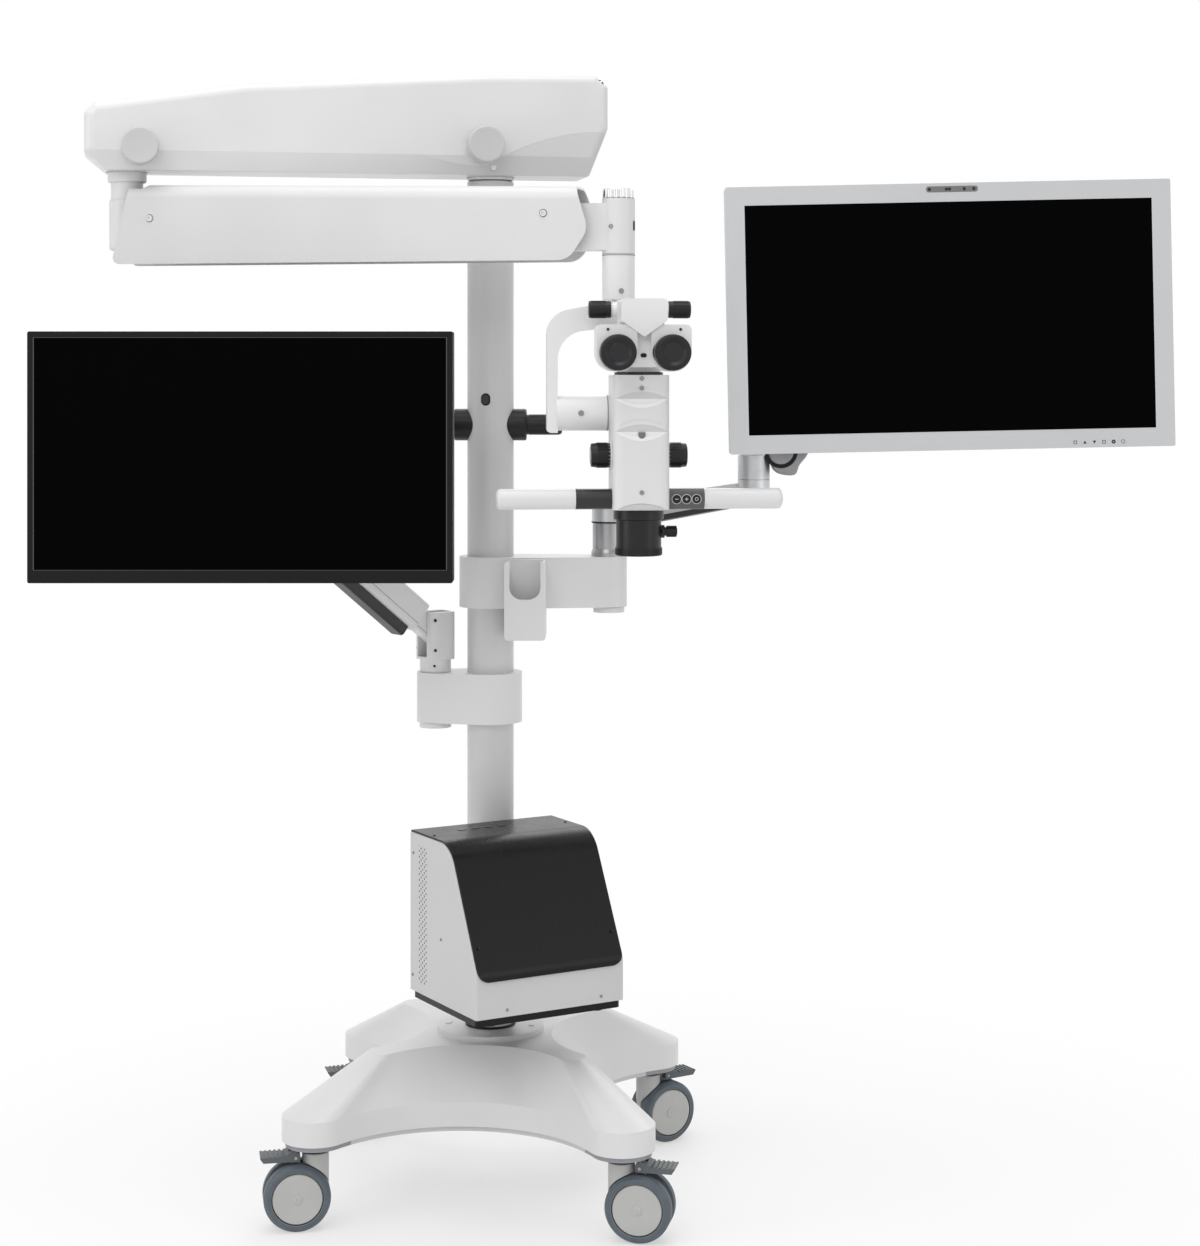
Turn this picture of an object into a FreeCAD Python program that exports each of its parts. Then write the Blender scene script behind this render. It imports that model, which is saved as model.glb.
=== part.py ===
import FreeCAD
import Part
import Sketcher
import math
import os

# Surgical microscope on a four-caster floor stand, in millimetres.
# The row frame has Z up and its origin on the floor under the middle of the bounding box.
# X runs to the viewer's right and Y runs away from the viewer.

os.makedirs("parts", exist_ok=True)
doc = FreeCAD.newDocument("SurgicalMicroscope")
sheet = doc.addObject("Spreadsheet::Sheet", "Sizes")

# Driving sizes, one word each, in millimetres and degrees
SIZES = {
    "column_place_x": -176.163,
    "column_place_y": 54.968,
    "pivot_gap": 0.05,
    "pin_round": 10.0,
    "pin_deep": 30.0,
    "lift_pin_round": 6.0,
    "tongue_round": 17.0,
    "tongue_wide": 24.0,
    "wrist_wide": 42.0,
    "upright_pin_round": 7.0,
    "sleeve_round": 15.0,
    "sleeve_tall": 36.0,
    "barrel_round": 8.0,
    "barrel_wide": 40.0,
    "tilt_pin_round": 4.0,
    "tilt_reach": 32.0,
    "ear_thick": 7.0,
    "back_plate": 12.0,
    "panel_thick": 4.0,
    "panel_sunk": 1.5,
    "right_arm_climb": 46.0,
    "right_hub_tall": 40.0,
    "right_end_tall": 30.0,
    "right_elbow_round": 24.0,
    "right_swivel_tall": 36.0,
    "right_link_wide": 44.0,
    "elbow_top": 1583.0,
    "elbow_pin_long": 50.0,
    "top_cover_left": 627.0,
    "top_cover_right": 179.0,
    "turn_gap": 0.5,
    # Base and casters
    "caster_circle": 325.0,
    "arm_turn": 39.0,
    "arm_end_round": 50.0,
    "base_waist": 150.0,
    "cover_bottom": 132.0,
    "cover_wall_tall": 37.0,
    "cover_crest": 242.0,
    "crest_reach": 205.0,
    "crest_round": 22.0,
    "crest_waist": 98.0,
    "cover_sheet": 3.5,
    "hub_disc_round": 84.0,
    "hub_disc_tall": 8.0,
    "plate_inset": 5.0,
    "plate_drop": 8.0,
    "plate_thick": 30.0,
    "plate_clear": 2.5,
    "boss_round": 66.0,
    "wheel_round": 50.0,
    "hub_face_round": 37.5,
    "wheel_wide": 20.0,
    "wheel_between": 14.0,
    "caster_trail": 28.0,
    "collar_round": 21.0,
    "collar_tall": 11.0,
    "stem_round": 6.0,
    "stem_long": 36.0,
    "leg_round": 20.0,
    "leg_low": 62.0,
    "fender_round": 42.0,
    "wheel_clear": 1.5,
    "axle_round": 4.0,
    "pedal_pin_along": 30.0,
    "pedal_pin_high": 108.5,
    "pedal_pin_round": 2.5,
    "pedal_wide": 36.0,
    "pedal_reach": 84.0,
    "pedal_lug_round": 6.0,
    # Column and what is clamped to it
    "column_round": 36.5,
    "column_wall": 4.0,
    "column_tall": 1578.0,
    "spigot_round": 22.0,
    "spigot_long": 40.0,
    "socket_high": 1234.0,
    "socket_tall": 20.0,
    "socket_wide": 15.0,
    "grip_high": 1194.0,
    "grip_collar_round": 25.0,
    "grip_collar_reach": 57.0,
    "grip_rod_round": 15.75,
    "grip_reach": 113.0,
    "low_clamp_floor": 727.0,
    "low_clamp_tall": 78.0,
    "low_clamp_round": 49.7,
    "low_lobe_out": 86.8,
    "low_lobe_round": 29.0,
    "high_clamp_floor": 908.0,
    "high_clamp_tall": 79.0,
    "high_clamp_round": 49.0,
    "high_lobe_out": 186.5,
    "high_lobe_round": 28.5,
    "clamp_cap_tall": 9.0,
    "holder_middle": 57.0,
    "holder_wide": 64.0,
    "holder_floor": 863.0,
    "holder_top": 985.0,
    "holder_deep": 42.0,
    "holder_wall": 4.0,
    "holder_lip": 926.0,
    # Docking station
    "dock_wide": 248.4,
    "dock_yaw": 30.0,
    "dock_middle": -36.4,
    "dock_back": 44.0,
    "dock_floor": 323.0,
    "dock_top": 574.0,
    "dock_deep": 220.0,
    "dock_top_deep": 131.0,
    "dock_front_low": 397.0,
    "dock_bend_round": 50.0,
    "dock_low_round": 20.0,
    "dock_cover_thick": 3.0,
    "dock_cover_low": 388.0,
    "dock_cover_margin": 2.5,
    "dock_cover_wrap": 12.0,
    "dock_cover_corner": 18.0,
    "plinth_tall": 11.0,
    "shelf_thick": 6.0,
    # Left monitor and its arm
    "left_post_round": 24.5,
    "left_post_tall": 20.0,
    "left_block_wide": 50.0,
    "left_block_tall": 74.0,
    "left_arm_yaw": 217.7,
    "left_arm_rise": 38.6,
    "left_arm_long": 428.6,
    "left_lift_high": 863.0,
    "left_beam_tall": 50.0,
    "left_beam_wide": 44.0,
    "left_strip_tall": 17.0,
    "left_screen_wide": 620.0,
    "left_screen_tall": 367.0,
    "left_screen_thick": 40.0,
    "left_rim": 9.0,
    "left_chin": 19.0,
    # Right monitor and its arm
    "right_post_round": 27.5,
    "right_post_top_round": 25.5,
    "right_post_tall": 52.0,
    "right_arm_yaw": -39.6,
    "right_arm_long": 282.3,
    "right_link_yaw": -1.9,
    "right_link_rise": 27.4,
    "right_link_long": 316.5,
    "right_screen_wide": 651.0,
    "right_screen_tall": 391.0,
    "right_screen_thick": 42.0,
    "right_rim": 27.0,
    "right_roll": 1.15,
    # Extension arm over the column
    "top_arm_yaw": 190.75,
    "top_arm_long": 562.9,
    "top_arm_floor": 1583.0,
    "top_arm_deep": 120.0,
    "bevel_deep": 9.0,
    "bevel_tall": 30.0,
    "cover_bend": 14.0,
    "knob_round": 28.0,
    "knob_proud": 36.0,
    # Elbow and spring arm
    "elbow_floor": 1463.0,
    "elbow_round": 27.0,
    "elbow_neck_round": 24.5,
    "elbow_flange_round": 29.5,
    "spring_arm_yaw": -11.63,
    "spring_arm_long": 768.8,
    "spring_cover_floor": 1441.0,
    "spring_cover_wide": 78.0,
    "head_block_round": 24.3,
    # Microscope head
    "yoke_tube_round": 24.0,
    "tilt_high": 1217.0,
    "tilt_round": 26.0,
    "body_wide": 82.0,
    "body_floor": 1078.0,
    "body_top": 1273.0,
    "body_front": 85.0,
    "body_back": 15.0,
    "body_out": 26.4,
    "eye_pair_wide": 77.7,
    "eye_high": 1305.0,
    "eye_round": 25.8,
    "objective_round": 33.0,
    "button_round": 6.25,
    "button_gap": 14.5,
    "button_deep": 6.0,
    "button_travel": 1.0,
    "spindle_round": 6.0,
    "spindle_long": 38.0,
    "column_knob_along": 19.0,
    "column_knob_high": 1628.0,
    "elbow_knob_short": 18.9,
    "elbow_knob_high": 1617.0,
    "elbow_reach": 52.0,
    "head_reach": 105.0,
    "link_high": 1510.0,
    "link_spread": 36.0,
    "link_tall": 18.0,
    "link_pin_round": 5.0,
    "clevis_wide": 40.0,
    "spring_cover_high": 1562.0,
    "spring_cover_low": 1550.0,
    "spring_cover_short": 38.0,
    "spring_cover_sheet": 3.5,
    "spring_cover_bend": 20.0,
    "head_floor": 1451.0,
    "head_top": 1532.0,
    "head_knob_tall": 14.0,
    "yoke_pin_long": 60.0,
    "head_yaw": 4.5,
    "yoke_tube_floor": 1383.0,
    "yoke_reach": 106.0,
    "yoke_thick": 15.4,
    "yoke_deep": 34.0,
    "tilt_disc_thick": 3.0,
    "zoom_high": 1156.0,
    "zoom_shaft_round": 5.0,
    "zoom_round": 18.0,
    "zoom_long": 28.6,
    "mouth_round": 27.0,
    "mouth_deep": 6.0,
    "focus_high": 1044.5,
    "focus_round": 8.0,
    "focus_pin_round": 3.5,
    "handle_high": 1093.0,
    "handle_front": 50.0,
    "handle_round": 15.0,
    "handle_sleeve": 52.0,
    "handle_long": 115.0,
    "binocular_axis_front": 48.0,
    "binocular_axis_high": 1368.0,
    "binocular_pin_round": 4.0,
    "neck_wide": 40.0,
    "lobe_half": 29.0,
    "lobe_low": 27.0,
    "lobe_tall": 40.0,
    "shield_point": 22.0,
    "lobe_back": 70.0,
    "lobe_front": 122.0,
    "shield_wide": 66.6,
    "pd_collar": 8.6,
    "pd_round": 12.4,
    "pd_long": 31.6,
    "eye_slide": 10.0,
    "eye_tube_round": 17.0,
    "eye_tube_long": 30.0,
    "eye_ring_long": 28.0,
    "left_drop": 18.0,
    "right_drop": 0.0,
}


class Size:
    """A size that knows its number now and the sheet expression that gives it."""

    def __init__(self, number, text):
        self.number = number
        self.text = text

    def __add__(self, other):
        other = as_size(other)
        return Size(self.number + other.number, f"({self.text} + {other.text})")

    def __radd__(self, other):
        return as_size(other) + self

    def __sub__(self, other):
        other = as_size(other)
        return Size(self.number - other.number, f"({self.text} - {other.text})")

    def __rsub__(self, other):
        return as_size(other) - self

    def __mul__(self, other):
        other = as_size(other)
        return Size(self.number * other.number, f"({self.text} * {other.text})")

    def __rmul__(self, other):
        return as_size(other) * self

    def __truediv__(self, other):
        other = as_size(other)
        return Size(self.number / other.number, f"({self.text} / {other.text})")

    def __neg__(self):
        return Size(-self.number, f"(0 - {self.text})")


def as_size(value):
    if isinstance(value, Size):
        return value
    return Size(float(value), repr(float(value)))


def root(value):
    return Size(math.sqrt(value.number), f"sqrt({value.text})")


def cosine(angle):
    angle = as_size(angle)
    return Size(math.cos(math.radians(angle.number)), f"cos({angle.text})")


def sine(angle):
    angle = as_size(angle)
    return Size(math.sin(math.radians(angle.number)), f"sin({angle.text})")


class Named:
    """Each driving size as an attribute."""


s = Named()
for row, (name, value) in enumerate(SIZES.items(), start=1):
    sheet.set(f"A{row}", name)
    sheet.set(f"B{row}", str(value))
    sheet.setAlias(f"B{row}", name)
    setattr(s, name, Size(value, f"Sizes.{name}"))
doc.recompute()


class Disc:
    """A round loop of a sketch."""

    def __init__(self, across, up, radius):
        self.across = as_size(across)
        self.up = as_size(up)
        self.radius = as_size(radius)


def fix_point(sketch, shape, end, across, up):
    """Tie one point of a sketch to two sizes measured from its origin."""
    for kind, value in (("DistanceX", as_size(across)), ("DistanceY", as_size(up))):
        index = sketch.addConstraint(Sketcher.Constraint(kind, -1, 1, shape, end, value.number))
        sketch.setExpression(f"Constraints[{index}]", value.text)


def fix_radius(sketch, shape, radius):
    index = sketch.addConstraint(Sketcher.Constraint("Radius", shape, radius.number))
    sketch.setExpression(f"Constraints[{index}]", radius.text)


def draw_disc(sketch, disc):
    middle = FreeCAD.Vector(disc.across.number, disc.up.number, 0)
    shape = sketch.addGeometry(Part.Circle(middle, FreeCAD.Vector(0, 0, 1), disc.radius.number), False)
    fix_point(sketch, shape, 3, disc.across, disc.up)
    fix_radius(sketch, shape, disc.radius)


def rounded_corner(before, corner, after, radius):
    """The tangent arc at a corner: its two ends, its centre and its angles."""
    to_before = (before - corner).normalize()
    to_after = (after - corner).normalize()
    half = to_before.getAngle(to_after) / 2
    back = radius / math.tan(half)
    start = corner + to_before * back
    stop = corner + to_after * back
    bisector = (to_before + to_after).normalize()
    centre = corner + bisector * (radius / math.sin(half))
    return start, stop, centre


def draw_corners(sketch, corners):
    """Close a loop through corners (across, up) or, rounded, (across, up, radius)."""
    count = len(corners)
    points = [FreeCAD.Vector(as_size(c[0]).number, as_size(c[1]).number, 0) for c in corners]
    starts = list(points)
    stops = list(points)
    arcs = {}
    for i, corner in enumerate(corners):
        if len(corner) == 3:
            radius = as_size(corner[2])
            follow = points[(i + 1) % count]
            first, last, centre = rounded_corner(points[i - 1], points[i], follow, radius.number)
            starts[i] = last
            stops[i] = first
            arcs[i] = (centre, radius)
    lines = []
    for i in range(count):
        lines.append(sketch.addGeometry(Part.LineSegment(starts[i], stops[(i + 1) % count]), False))
    for i, corner in enumerate(corners):
        before = lines[i - 1]
        after = lines[i]
        if i not in arcs:
            sketch.addConstraint(Sketcher.Constraint("Coincident", before, 2, after, 1))
            fix_point(sketch, after, 1, corner[0], corner[1])
            continue
        centre, radius = arcs[i]
        sharp = sketch.addGeometry(Part.Point(points[i]), True)
        fix_point(sketch, sharp, 1, corner[0], corner[1])
        sketch.addConstraint(Sketcher.Constraint("PointOnObject", sharp, 1, before))
        sketch.addConstraint(Sketcher.Constraint("PointOnObject", sharp, 1, after))
        one = math.atan2(stops[i].y - centre.y, stops[i].x - centre.x)
        two = math.atan2(starts[i].y - centre.y, starts[i].x - centre.x)
        turn = (two - one) % (2 * math.pi)
        forward = turn < math.pi
        circle = Part.Circle(centre, FreeCAD.Vector(0, 0, 1), radius.number)
        if forward:
            arc = sketch.addGeometry(Part.ArcOfCircle(circle, one, one + turn), False)
        else:
            arc = sketch.addGeometry(Part.ArcOfCircle(circle, two, two + 2 * math.pi - turn), False)
        near = 1 if forward else 2
        far = 2 if forward else 1
        sketch.addConstraint(Sketcher.Constraint("Tangent", before, 2, arc, near))
        sketch.addConstraint(Sketcher.Constraint("Tangent", arc, far, after, 1))
        fix_radius(sketch, arc, radius)


def draw_cross(sketch, end_round, reach, waist, turn):
    """Outline with four round arm ends joined by hollow arcs, tangent where they meet."""
    side = reach * cosine(45)
    hollow_out = (side * side * 2 - (waist - end_round) * (waist - end_round)) / (
        (side - waist + end_round) * 2
    )
    hollow_round = hollow_out - waist
    ends = []
    hollows = []
    for i in range(4):
        angle = turn + 90 * i
        ends.append((reach * cosine(angle), reach * sine(angle)))
        hollows.append((hollow_out * cosine(angle + 45), hollow_out * sine(angle + 45)))

    def meet(end, hollow):
        share = end_round / (end_round + hollow_round)
        return (end[0] + (hollow[0] - end[0]) * share, end[1] + (hollow[1] - end[1]) * share)

    for i in range(4):
        follow = (i + 1) % 4
        end_arc = (ends[i], end_round, meet(ends[i], hollows[i - 1]), meet(ends[i], hollows[i]))
        hollow_arc = (hollows[i], hollow_round, meet(ends[follow], hollows[i]), meet(ends[i], hollows[i]))
        for centre, radius, first, last in (end_arc, hollow_arc):
            middle = FreeCAD.Vector(centre[0].number, centre[1].number, 0)
            one = math.atan2(first[1].number - middle.y, first[0].number - middle.x)
            two = math.atan2(last[1].number - middle.y, last[0].number - middle.x)
            circle = Part.Circle(middle, FreeCAD.Vector(0, 0, 1), radius.number)
            sweep = (two - one) % (2 * math.pi)
            arc = sketch.addGeometry(Part.ArcOfCircle(circle, one, one + sweep), False)
            fix_point(sketch, arc, 1, first[0], first[1])
            fix_point(sketch, arc, 2, last[0], last[1])
            fix_radius(sketch, arc, radius)


class Lens:
    """Two arcs between two points at one height, one above and one below."""

    def __init__(self, across, up, half, rise, drop):
        self.left = as_size(across) - half
        self.right = as_size(across) + half
        self.up = as_size(up)
        self.half = as_size(half)
        self.rise = as_size(rise)
        self.drop = as_size(drop)


def draw_lens(sketch, lens):
    """Draw the arcs of a lens, or one arc and its chord where the drop is nothing."""
    for height, above in ((lens.rise, True), (lens.drop, False)):
        if height.number == 0:
            left = FreeCAD.Vector(lens.left.number, lens.up.number, 0)
            right = FreeCAD.Vector(lens.right.number, lens.up.number, 0)
            line = sketch.addGeometry(Part.LineSegment(left, right), False)
            fix_point(sketch, line, 1, lens.left, lens.up)
            fix_point(sketch, line, 2, lens.right, lens.up)
            continue
        radius = (lens.half * lens.half + height * height) / (height * 2)
        side = 1 if above else -1
        centre_up = lens.up.number + (height.number - radius.number) * side
        centre = FreeCAD.Vector((lens.left.number + lens.right.number) / 2, centre_up, 0)
        spread = math.asin(lens.half.number / radius.number)
        start = math.pi / 2 * side - spread
        circle = Part.Circle(centre, FreeCAD.Vector(0, 0, 1), radius.number)
        arc = sketch.addGeometry(Part.ArcOfCircle(circle, start, start + spread * 2), False)
        first, last = (lens.right, lens.left) if above else (lens.left, lens.right)
        fix_point(sketch, arc, 1, first, lens.up)
        fix_point(sketch, arc, 2, last, lens.up)
        fix_radius(sketch, arc, radius)


class Cross:
    """The outline of the four-armed base."""

    def __init__(self, end_round, reach, waist, turn):
        self.end_round = as_size(end_round)
        self.reach = as_size(reach)
        self.waist = as_size(waist)
        self.turn = as_size(turn)


pieces = []


class Piece:
    """One sub-part: a body of sketched features with a label and a placement."""

    def __init__(self, label):
        self.body = doc.addObject("PartDesign::Body", label)
        self.body.Label = label
        self.body.AllowCompound = True
        pieces.append(self.body)

    def sketch(self, plane, loops, start=0):
        """Sketch on an origin plane, moved along that plane's normal by start."""
        sketch = self.body.newObject("Sketcher::SketchObject", f"{self.body.Label}_sketch")
        origin_plane = next(f for f in self.body.Origin.OriginFeatures if f.Role == plane)
        sketch.AttachmentSupport = [(origin_plane, "")]
        sketch.MapMode = "FlatFace"
        start = as_size(start)
        sketch.AttachmentOffset = FreeCAD.Placement(FreeCAD.Vector(0, 0, start.number), FreeCAD.Rotation())
        sketch.setExpression("AttachmentOffset.Base.z", start.text)
        for loop in loops:
            if isinstance(loop, Disc):
                draw_disc(sketch, loop)
            elif isinstance(loop, Lens):
                draw_lens(sketch, loop)
            elif isinstance(loop, Cross):
                draw_cross(sketch, loop.end_round, loop.reach, loop.waist, loop.turn)
            else:
                draw_corners(sketch, loop)
        return sketch

    def feature(self, kind, profile):
        feature = self.body.newObject(kind, f"{self.body.Label}_{kind.split('::')[1]}")
        feature.Profile = profile
        self.last = feature
        return feature

    def pad(self, plane, loops, start, length, through_middle=False):
        """Add material from start to start + length along the plane's normal."""
        feature = self.feature("PartDesign::Pad", self.sketch(plane, loops, start))
        feature.setExpression("Length", as_size(length).text)
        if through_middle:
            feature.SideType = "Symmetric"
        return self

    def cut(self, plane, loops, start, length, through_middle=False):
        """Take material away from start to start + length along the plane's normal."""
        feature = self.feature("PartDesign::Pocket", self.sketch(plane, loops, start))
        feature.setExpression("Length", as_size(length).text)
        feature.Reversed = True
        if through_middle:
            feature.SideType = "Symmetric"
        return self

    def turn(self, loops, plane="XZ_Plane", axis="V_Axis", remove=False):
        """Revolve a profile about an axis of its sketch."""
        sketch = self.sketch(plane, loops)
        feature = self.feature("PartDesign::Groove" if remove else "PartDesign::Revolution", sketch)
        feature.ReferenceAxis = (sketch, [axis])
        feature.Angle = 360
        return self

    def loft(self, plane, first, first_start, second, second_start, remove=False):
        """Join two outlines on parallel planes."""
        feature = self.feature(
            "PartDesign::SubtractiveLoft" if remove else "PartDesign::AdditiveLoft",
            self.sketch(plane, [first], first_start),
        )
        feature.Sections = [self.sketch(plane, [second], second_start)]
        return self

    def around(self, count):
        """Repeat the last feature evenly about the body's own Z axis."""
        pattern = self.body.newObject("PartDesign::PolarPattern", f"{self.body.Label}_around")
        pattern.Originals = [self.last]
        pattern.Axis = (self.last.Profile[0], ["N_Axis"])
        pattern.Angle = 360
        pattern.Occurrences = count
        self.body.Tip = pattern
        self.last = pattern
        return self

    def along(self, axis, length, count):
        """Repeat the last feature in a row along an axis of its sketch."""
        pattern = self.body.newObject("PartDesign::LinearPattern", f"{self.body.Label}_row")
        pattern.Originals = [self.last]
        pattern.Direction = (self.last.Profile[0], [axis])
        pattern.setExpression("Length", as_size(length).text)
        pattern.Occurrences = count
        self.body.Tip = pattern
        self.last = pattern
        return self

    def round_edges(self, radius, wanted, chamfer=False):
        """Round or bevel the edges that the test picks out."""
        doc.recompute()
        names = []
        for i, edge in enumerate(self.last.Shape.Edges, start=1):
            if wanted(edge):
                names.append(f"Edge{i}")
        kind = "PartDesign::Chamfer" if chamfer else "PartDesign::Fillet"
        feature = self.body.newObject(kind, f"{self.body.Label}_edge")
        feature.Base = (self.last, names)
        feature.setExpression("Size" if chamfer else "Radius", as_size(radius).text)
        self.last = feature
        return self

    def place(self, across, back, high, yaw=0, pitch=0, roll=0):
        """Put the body in the row frame, its angles about Z, then Y, then X."""
        where = "; ".join(as_size(v).text for v in (across, back, high))
        how = "; ".join(as_size(v).text for v in (yaw, pitch, roll))
        self.body.setExpression("Placement", f"placement(vector({where}); rotation({how}))")
        return self


def box_loop(left, low, right, high, radius=None):
    """A rectangle, rounded where a radius is given."""
    corners = [(left, low), (right, low), (right, high), (left, high)]
    if radius is not None:
        corners = [corner + (radius,) for corner in corners]
    return corners


column_x = s.column_place_x
column_y = s.column_place_y


def clamp_shape(piece, big, small, out, start, tall, remove=False):
    """Ring and lobe joined by their outer tangents, as added or removed material."""
    lean = (big - small) / out * (-1 if out.number < 0 else 1)
    side = -1 if out.number < 0 else 1
    straight = root(1 - lean * lean)
    web = [
        (lean * big * side, straight * big),
        (out + lean * small * side, straight * small),
        (out + lean * small * side, -straight * small),
        (lean * big * side, -straight * big),
    ]
    work = piece.cut if remove else piece.pad
    for loop in (Disc(0, 0, big), Disc(out, 0, small), web):
        work("XY_Plane", [loop], start, tall)


# Base

plate_floor = s.cover_bottom - s.plate_drop
wall_top = s.cover_bottom + s.cover_wall_tall
crest_ceiling = s.cover_crest - s.cover_sheet


def base_cover():
    foot = Cross(s.arm_end_round, s.caster_circle, s.base_waist, s.arm_turn)
    crest = Cross(s.crest_round, s.crest_reach, s.crest_waist, s.arm_turn)
    foot_inside = Cross(
        s.arm_end_round - s.cover_sheet, s.caster_circle, s.base_waist - s.cover_sheet, s.arm_turn
    )
    crest_inside = Cross(
        s.crest_round - s.cover_sheet, s.crest_reach, s.crest_waist - s.cover_sheet, s.arm_turn
    )
    piece = Piece("base_cover")
    piece.pad("XY_Plane", [foot], s.cover_bottom, s.cover_wall_tall)
    piece.loft("XY_Plane", foot, wall_top, crest, s.cover_crest)
    piece.pad("XY_Plane", [Disc(0, 0, s.hub_disc_round)], s.cover_crest, s.hub_disc_tall)
    piece.cut("XY_Plane", [foot_inside], s.cover_bottom, s.cover_wall_tall)
    piece.loft("XY_Plane", foot_inside, wall_top, crest_inside, crest_ceiling, remove=True)
    piece.cut("XY_Plane", [Disc(0, 0, s.column_round)], s.cover_bottom, s.cover_crest)
    piece.place(column_x, column_y, 0)


def base_casting():
    """The iron casting under the cover: four-armed plate, column socket and caster collars."""
    shelf = s.cover_sheet + s.plate_clear
    piece = Piece("base_casting")
    low = Cross(s.arm_end_round - s.plate_inset, s.caster_circle, s.base_waist - s.plate_inset, s.arm_turn)
    high = Cross(s.arm_end_round - shelf, s.caster_circle, s.base_waist - shelf, s.arm_turn)
    piece.pad("XY_Plane", [low], plate_floor, s.plate_drop)
    piece.pad("XY_Plane", [high], s.cover_bottom, s.plate_thick - s.plate_drop)
    piece.pad("XY_Plane", [Disc(0, 0, s.boss_round)], s.cover_bottom, crest_ceiling - s.cover_bottom)
    piece.cut("XY_Plane", [Disc(0, 0, s.column_round)], s.cover_bottom, s.cover_crest)
    collar_floor = plate_floor - s.collar_tall
    here = (s.caster_circle * cosine(s.arm_turn), s.caster_circle * sine(s.arm_turn))
    piece.pad("XY_Plane", [Disc(here[0], here[1], s.collar_round)], collar_floor, s.collar_tall)
    piece.around(4)
    stem_bore = Disc(here[0], here[1], s.stem_round + s.pivot_gap)
    piece.cut("XY_Plane", [stem_bore], collar_floor, s.stem_long + s.turn_gap)
    piece.around(4)
    piece.place(column_x, column_y, 0)


def caster(name, arm, heading):
    """One twin-wheel caster: fork with its stem, wheel pair on its axle, brake pedal on its pin."""
    angle = s.arm_turn + 90 * arm
    here = (column_x + s.caster_circle * cosine(angle), column_y + s.caster_circle * sine(angle))
    fork_top = plate_floor - s.collar_tall - s.turn_gap
    web = s.wheel_between - s.wheel_clear
    wheel_room = s.wheel_round + s.wheel_clear
    fork = Piece(f"caster_{name}_fork")
    fork.pad("XY_Plane", [Disc(0, 0, s.leg_round)], s.leg_low, fork_top - s.leg_low)
    for start in (web / 2, -web / 2 - s.leg_round):
        fork.cut("XZ_Plane", [Disc(s.caster_trail, s.wheel_round, wheel_room)], start, s.leg_round)
    fork.pad("XZ_Plane", [Disc(s.caster_trail, s.wheel_round, s.fender_round)], 0, web, True)
    lug = s.pedal_lug_round
    lug_loop = [
        (s.pedal_pin_along - lug, s.wheel_round),
        (s.pedal_pin_along + lug, s.wheel_round),
        (s.pedal_pin_along + lug, s.pedal_pin_high + lug, lug * 0.99),
        (s.pedal_pin_along - lug, s.pedal_pin_high + lug, lug * 0.99),
    ]
    fork.pad("XZ_Plane", [lug_loop], 0, web, True)
    pin = Disc(s.pedal_pin_along, s.pedal_pin_high, s.pedal_pin_round)
    fork.pad("XZ_Plane", [pin], 0, s.pedal_wide - 2, True)
    fork.pad("XY_Plane", [Disc(0, 0, s.stem_round)], fork_top - 1, s.stem_long + 1)
    axle = Disc(s.caster_trail, s.wheel_round, s.axle_round + s.pivot_gap)
    fork.cut("XZ_Plane", [axle], 0, s.wheel_between, True)
    fork.place(here[0], here[1], 0, heading)

    inner = s.wheel_between / 2
    outer = inner + s.wheel_wide
    hub = s.hub_face_round
    half = [
        (0, outer - 1.5),
        (hub - 1.5, outer - 0.5),
        (hub, outer - 2.5),
        (hub + 1.5, outer - 0.5),
        (s.wheel_round - 5, outer, 3),
        (s.wheel_round, outer - 7, 4),
        (s.wheel_round, inner + 1, 1),
        (s.wheel_round - 8, inner, 1),
        (s.axle_round, inner),
    ]
    mirrored = [(corner[0], -as_size(corner[1])) + tuple(corner[2:]) for corner in reversed(half)]
    wheels = Piece(f"caster_{name}_wheels")
    wheels.turn([half + mirrored])
    wheels.place(
        here[0] + s.caster_trail * cosine(heading),
        here[1] + s.caster_trail * sine(heading),
        s.wheel_round,
        heading,
        0,
        90,
    )

    tip = s.pedal_reach
    pedal_floor = s.pedal_pin_high - 5
    pedal_loop = [
        (s.leg_round + 3.5, pedal_floor, 2),
        (tip - 6, pedal_floor),
        (tip, pedal_floor + 8.5, 1.5),
        (s.pedal_pin_along + 15, pedal_floor + 10, 8),
        (s.pedal_pin_along + 2, pedal_floor + 17, 4),
        (s.leg_round + 3.5, pedal_floor + 11, 2),
    ]
    pedal = Piece(f"caster_{name}_pedal")
    pedal.pad("XZ_Plane", [pedal_loop], 0, s.pedal_wide, True)
    groove = box_loop(tip - 36, pedal_floor + 7.8, tip - 32.5, pedal_floor + 14)
    pedal.cut("XZ_Plane", [groove], 0, s.pedal_wide, True)
    pedal.along("H_Axis", 28, 5)
    slot = box_loop(s.leg_round, -web / 2 - 0.6, s.pedal_pin_along + lug + 4, web / 2 + 0.6)
    pedal.cut("XY_Plane", [slot], pedal_floor - 5, 30)
    pin_bore = Disc(s.pedal_pin_along, s.pedal_pin_high, s.pedal_pin_round + s.pivot_gap)
    pedal.cut("XZ_Plane", [pin_bore], 0, s.pedal_wide, True)
    pedal.place(here[0], here[1], 0, heading)


# Column and its fittings


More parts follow.
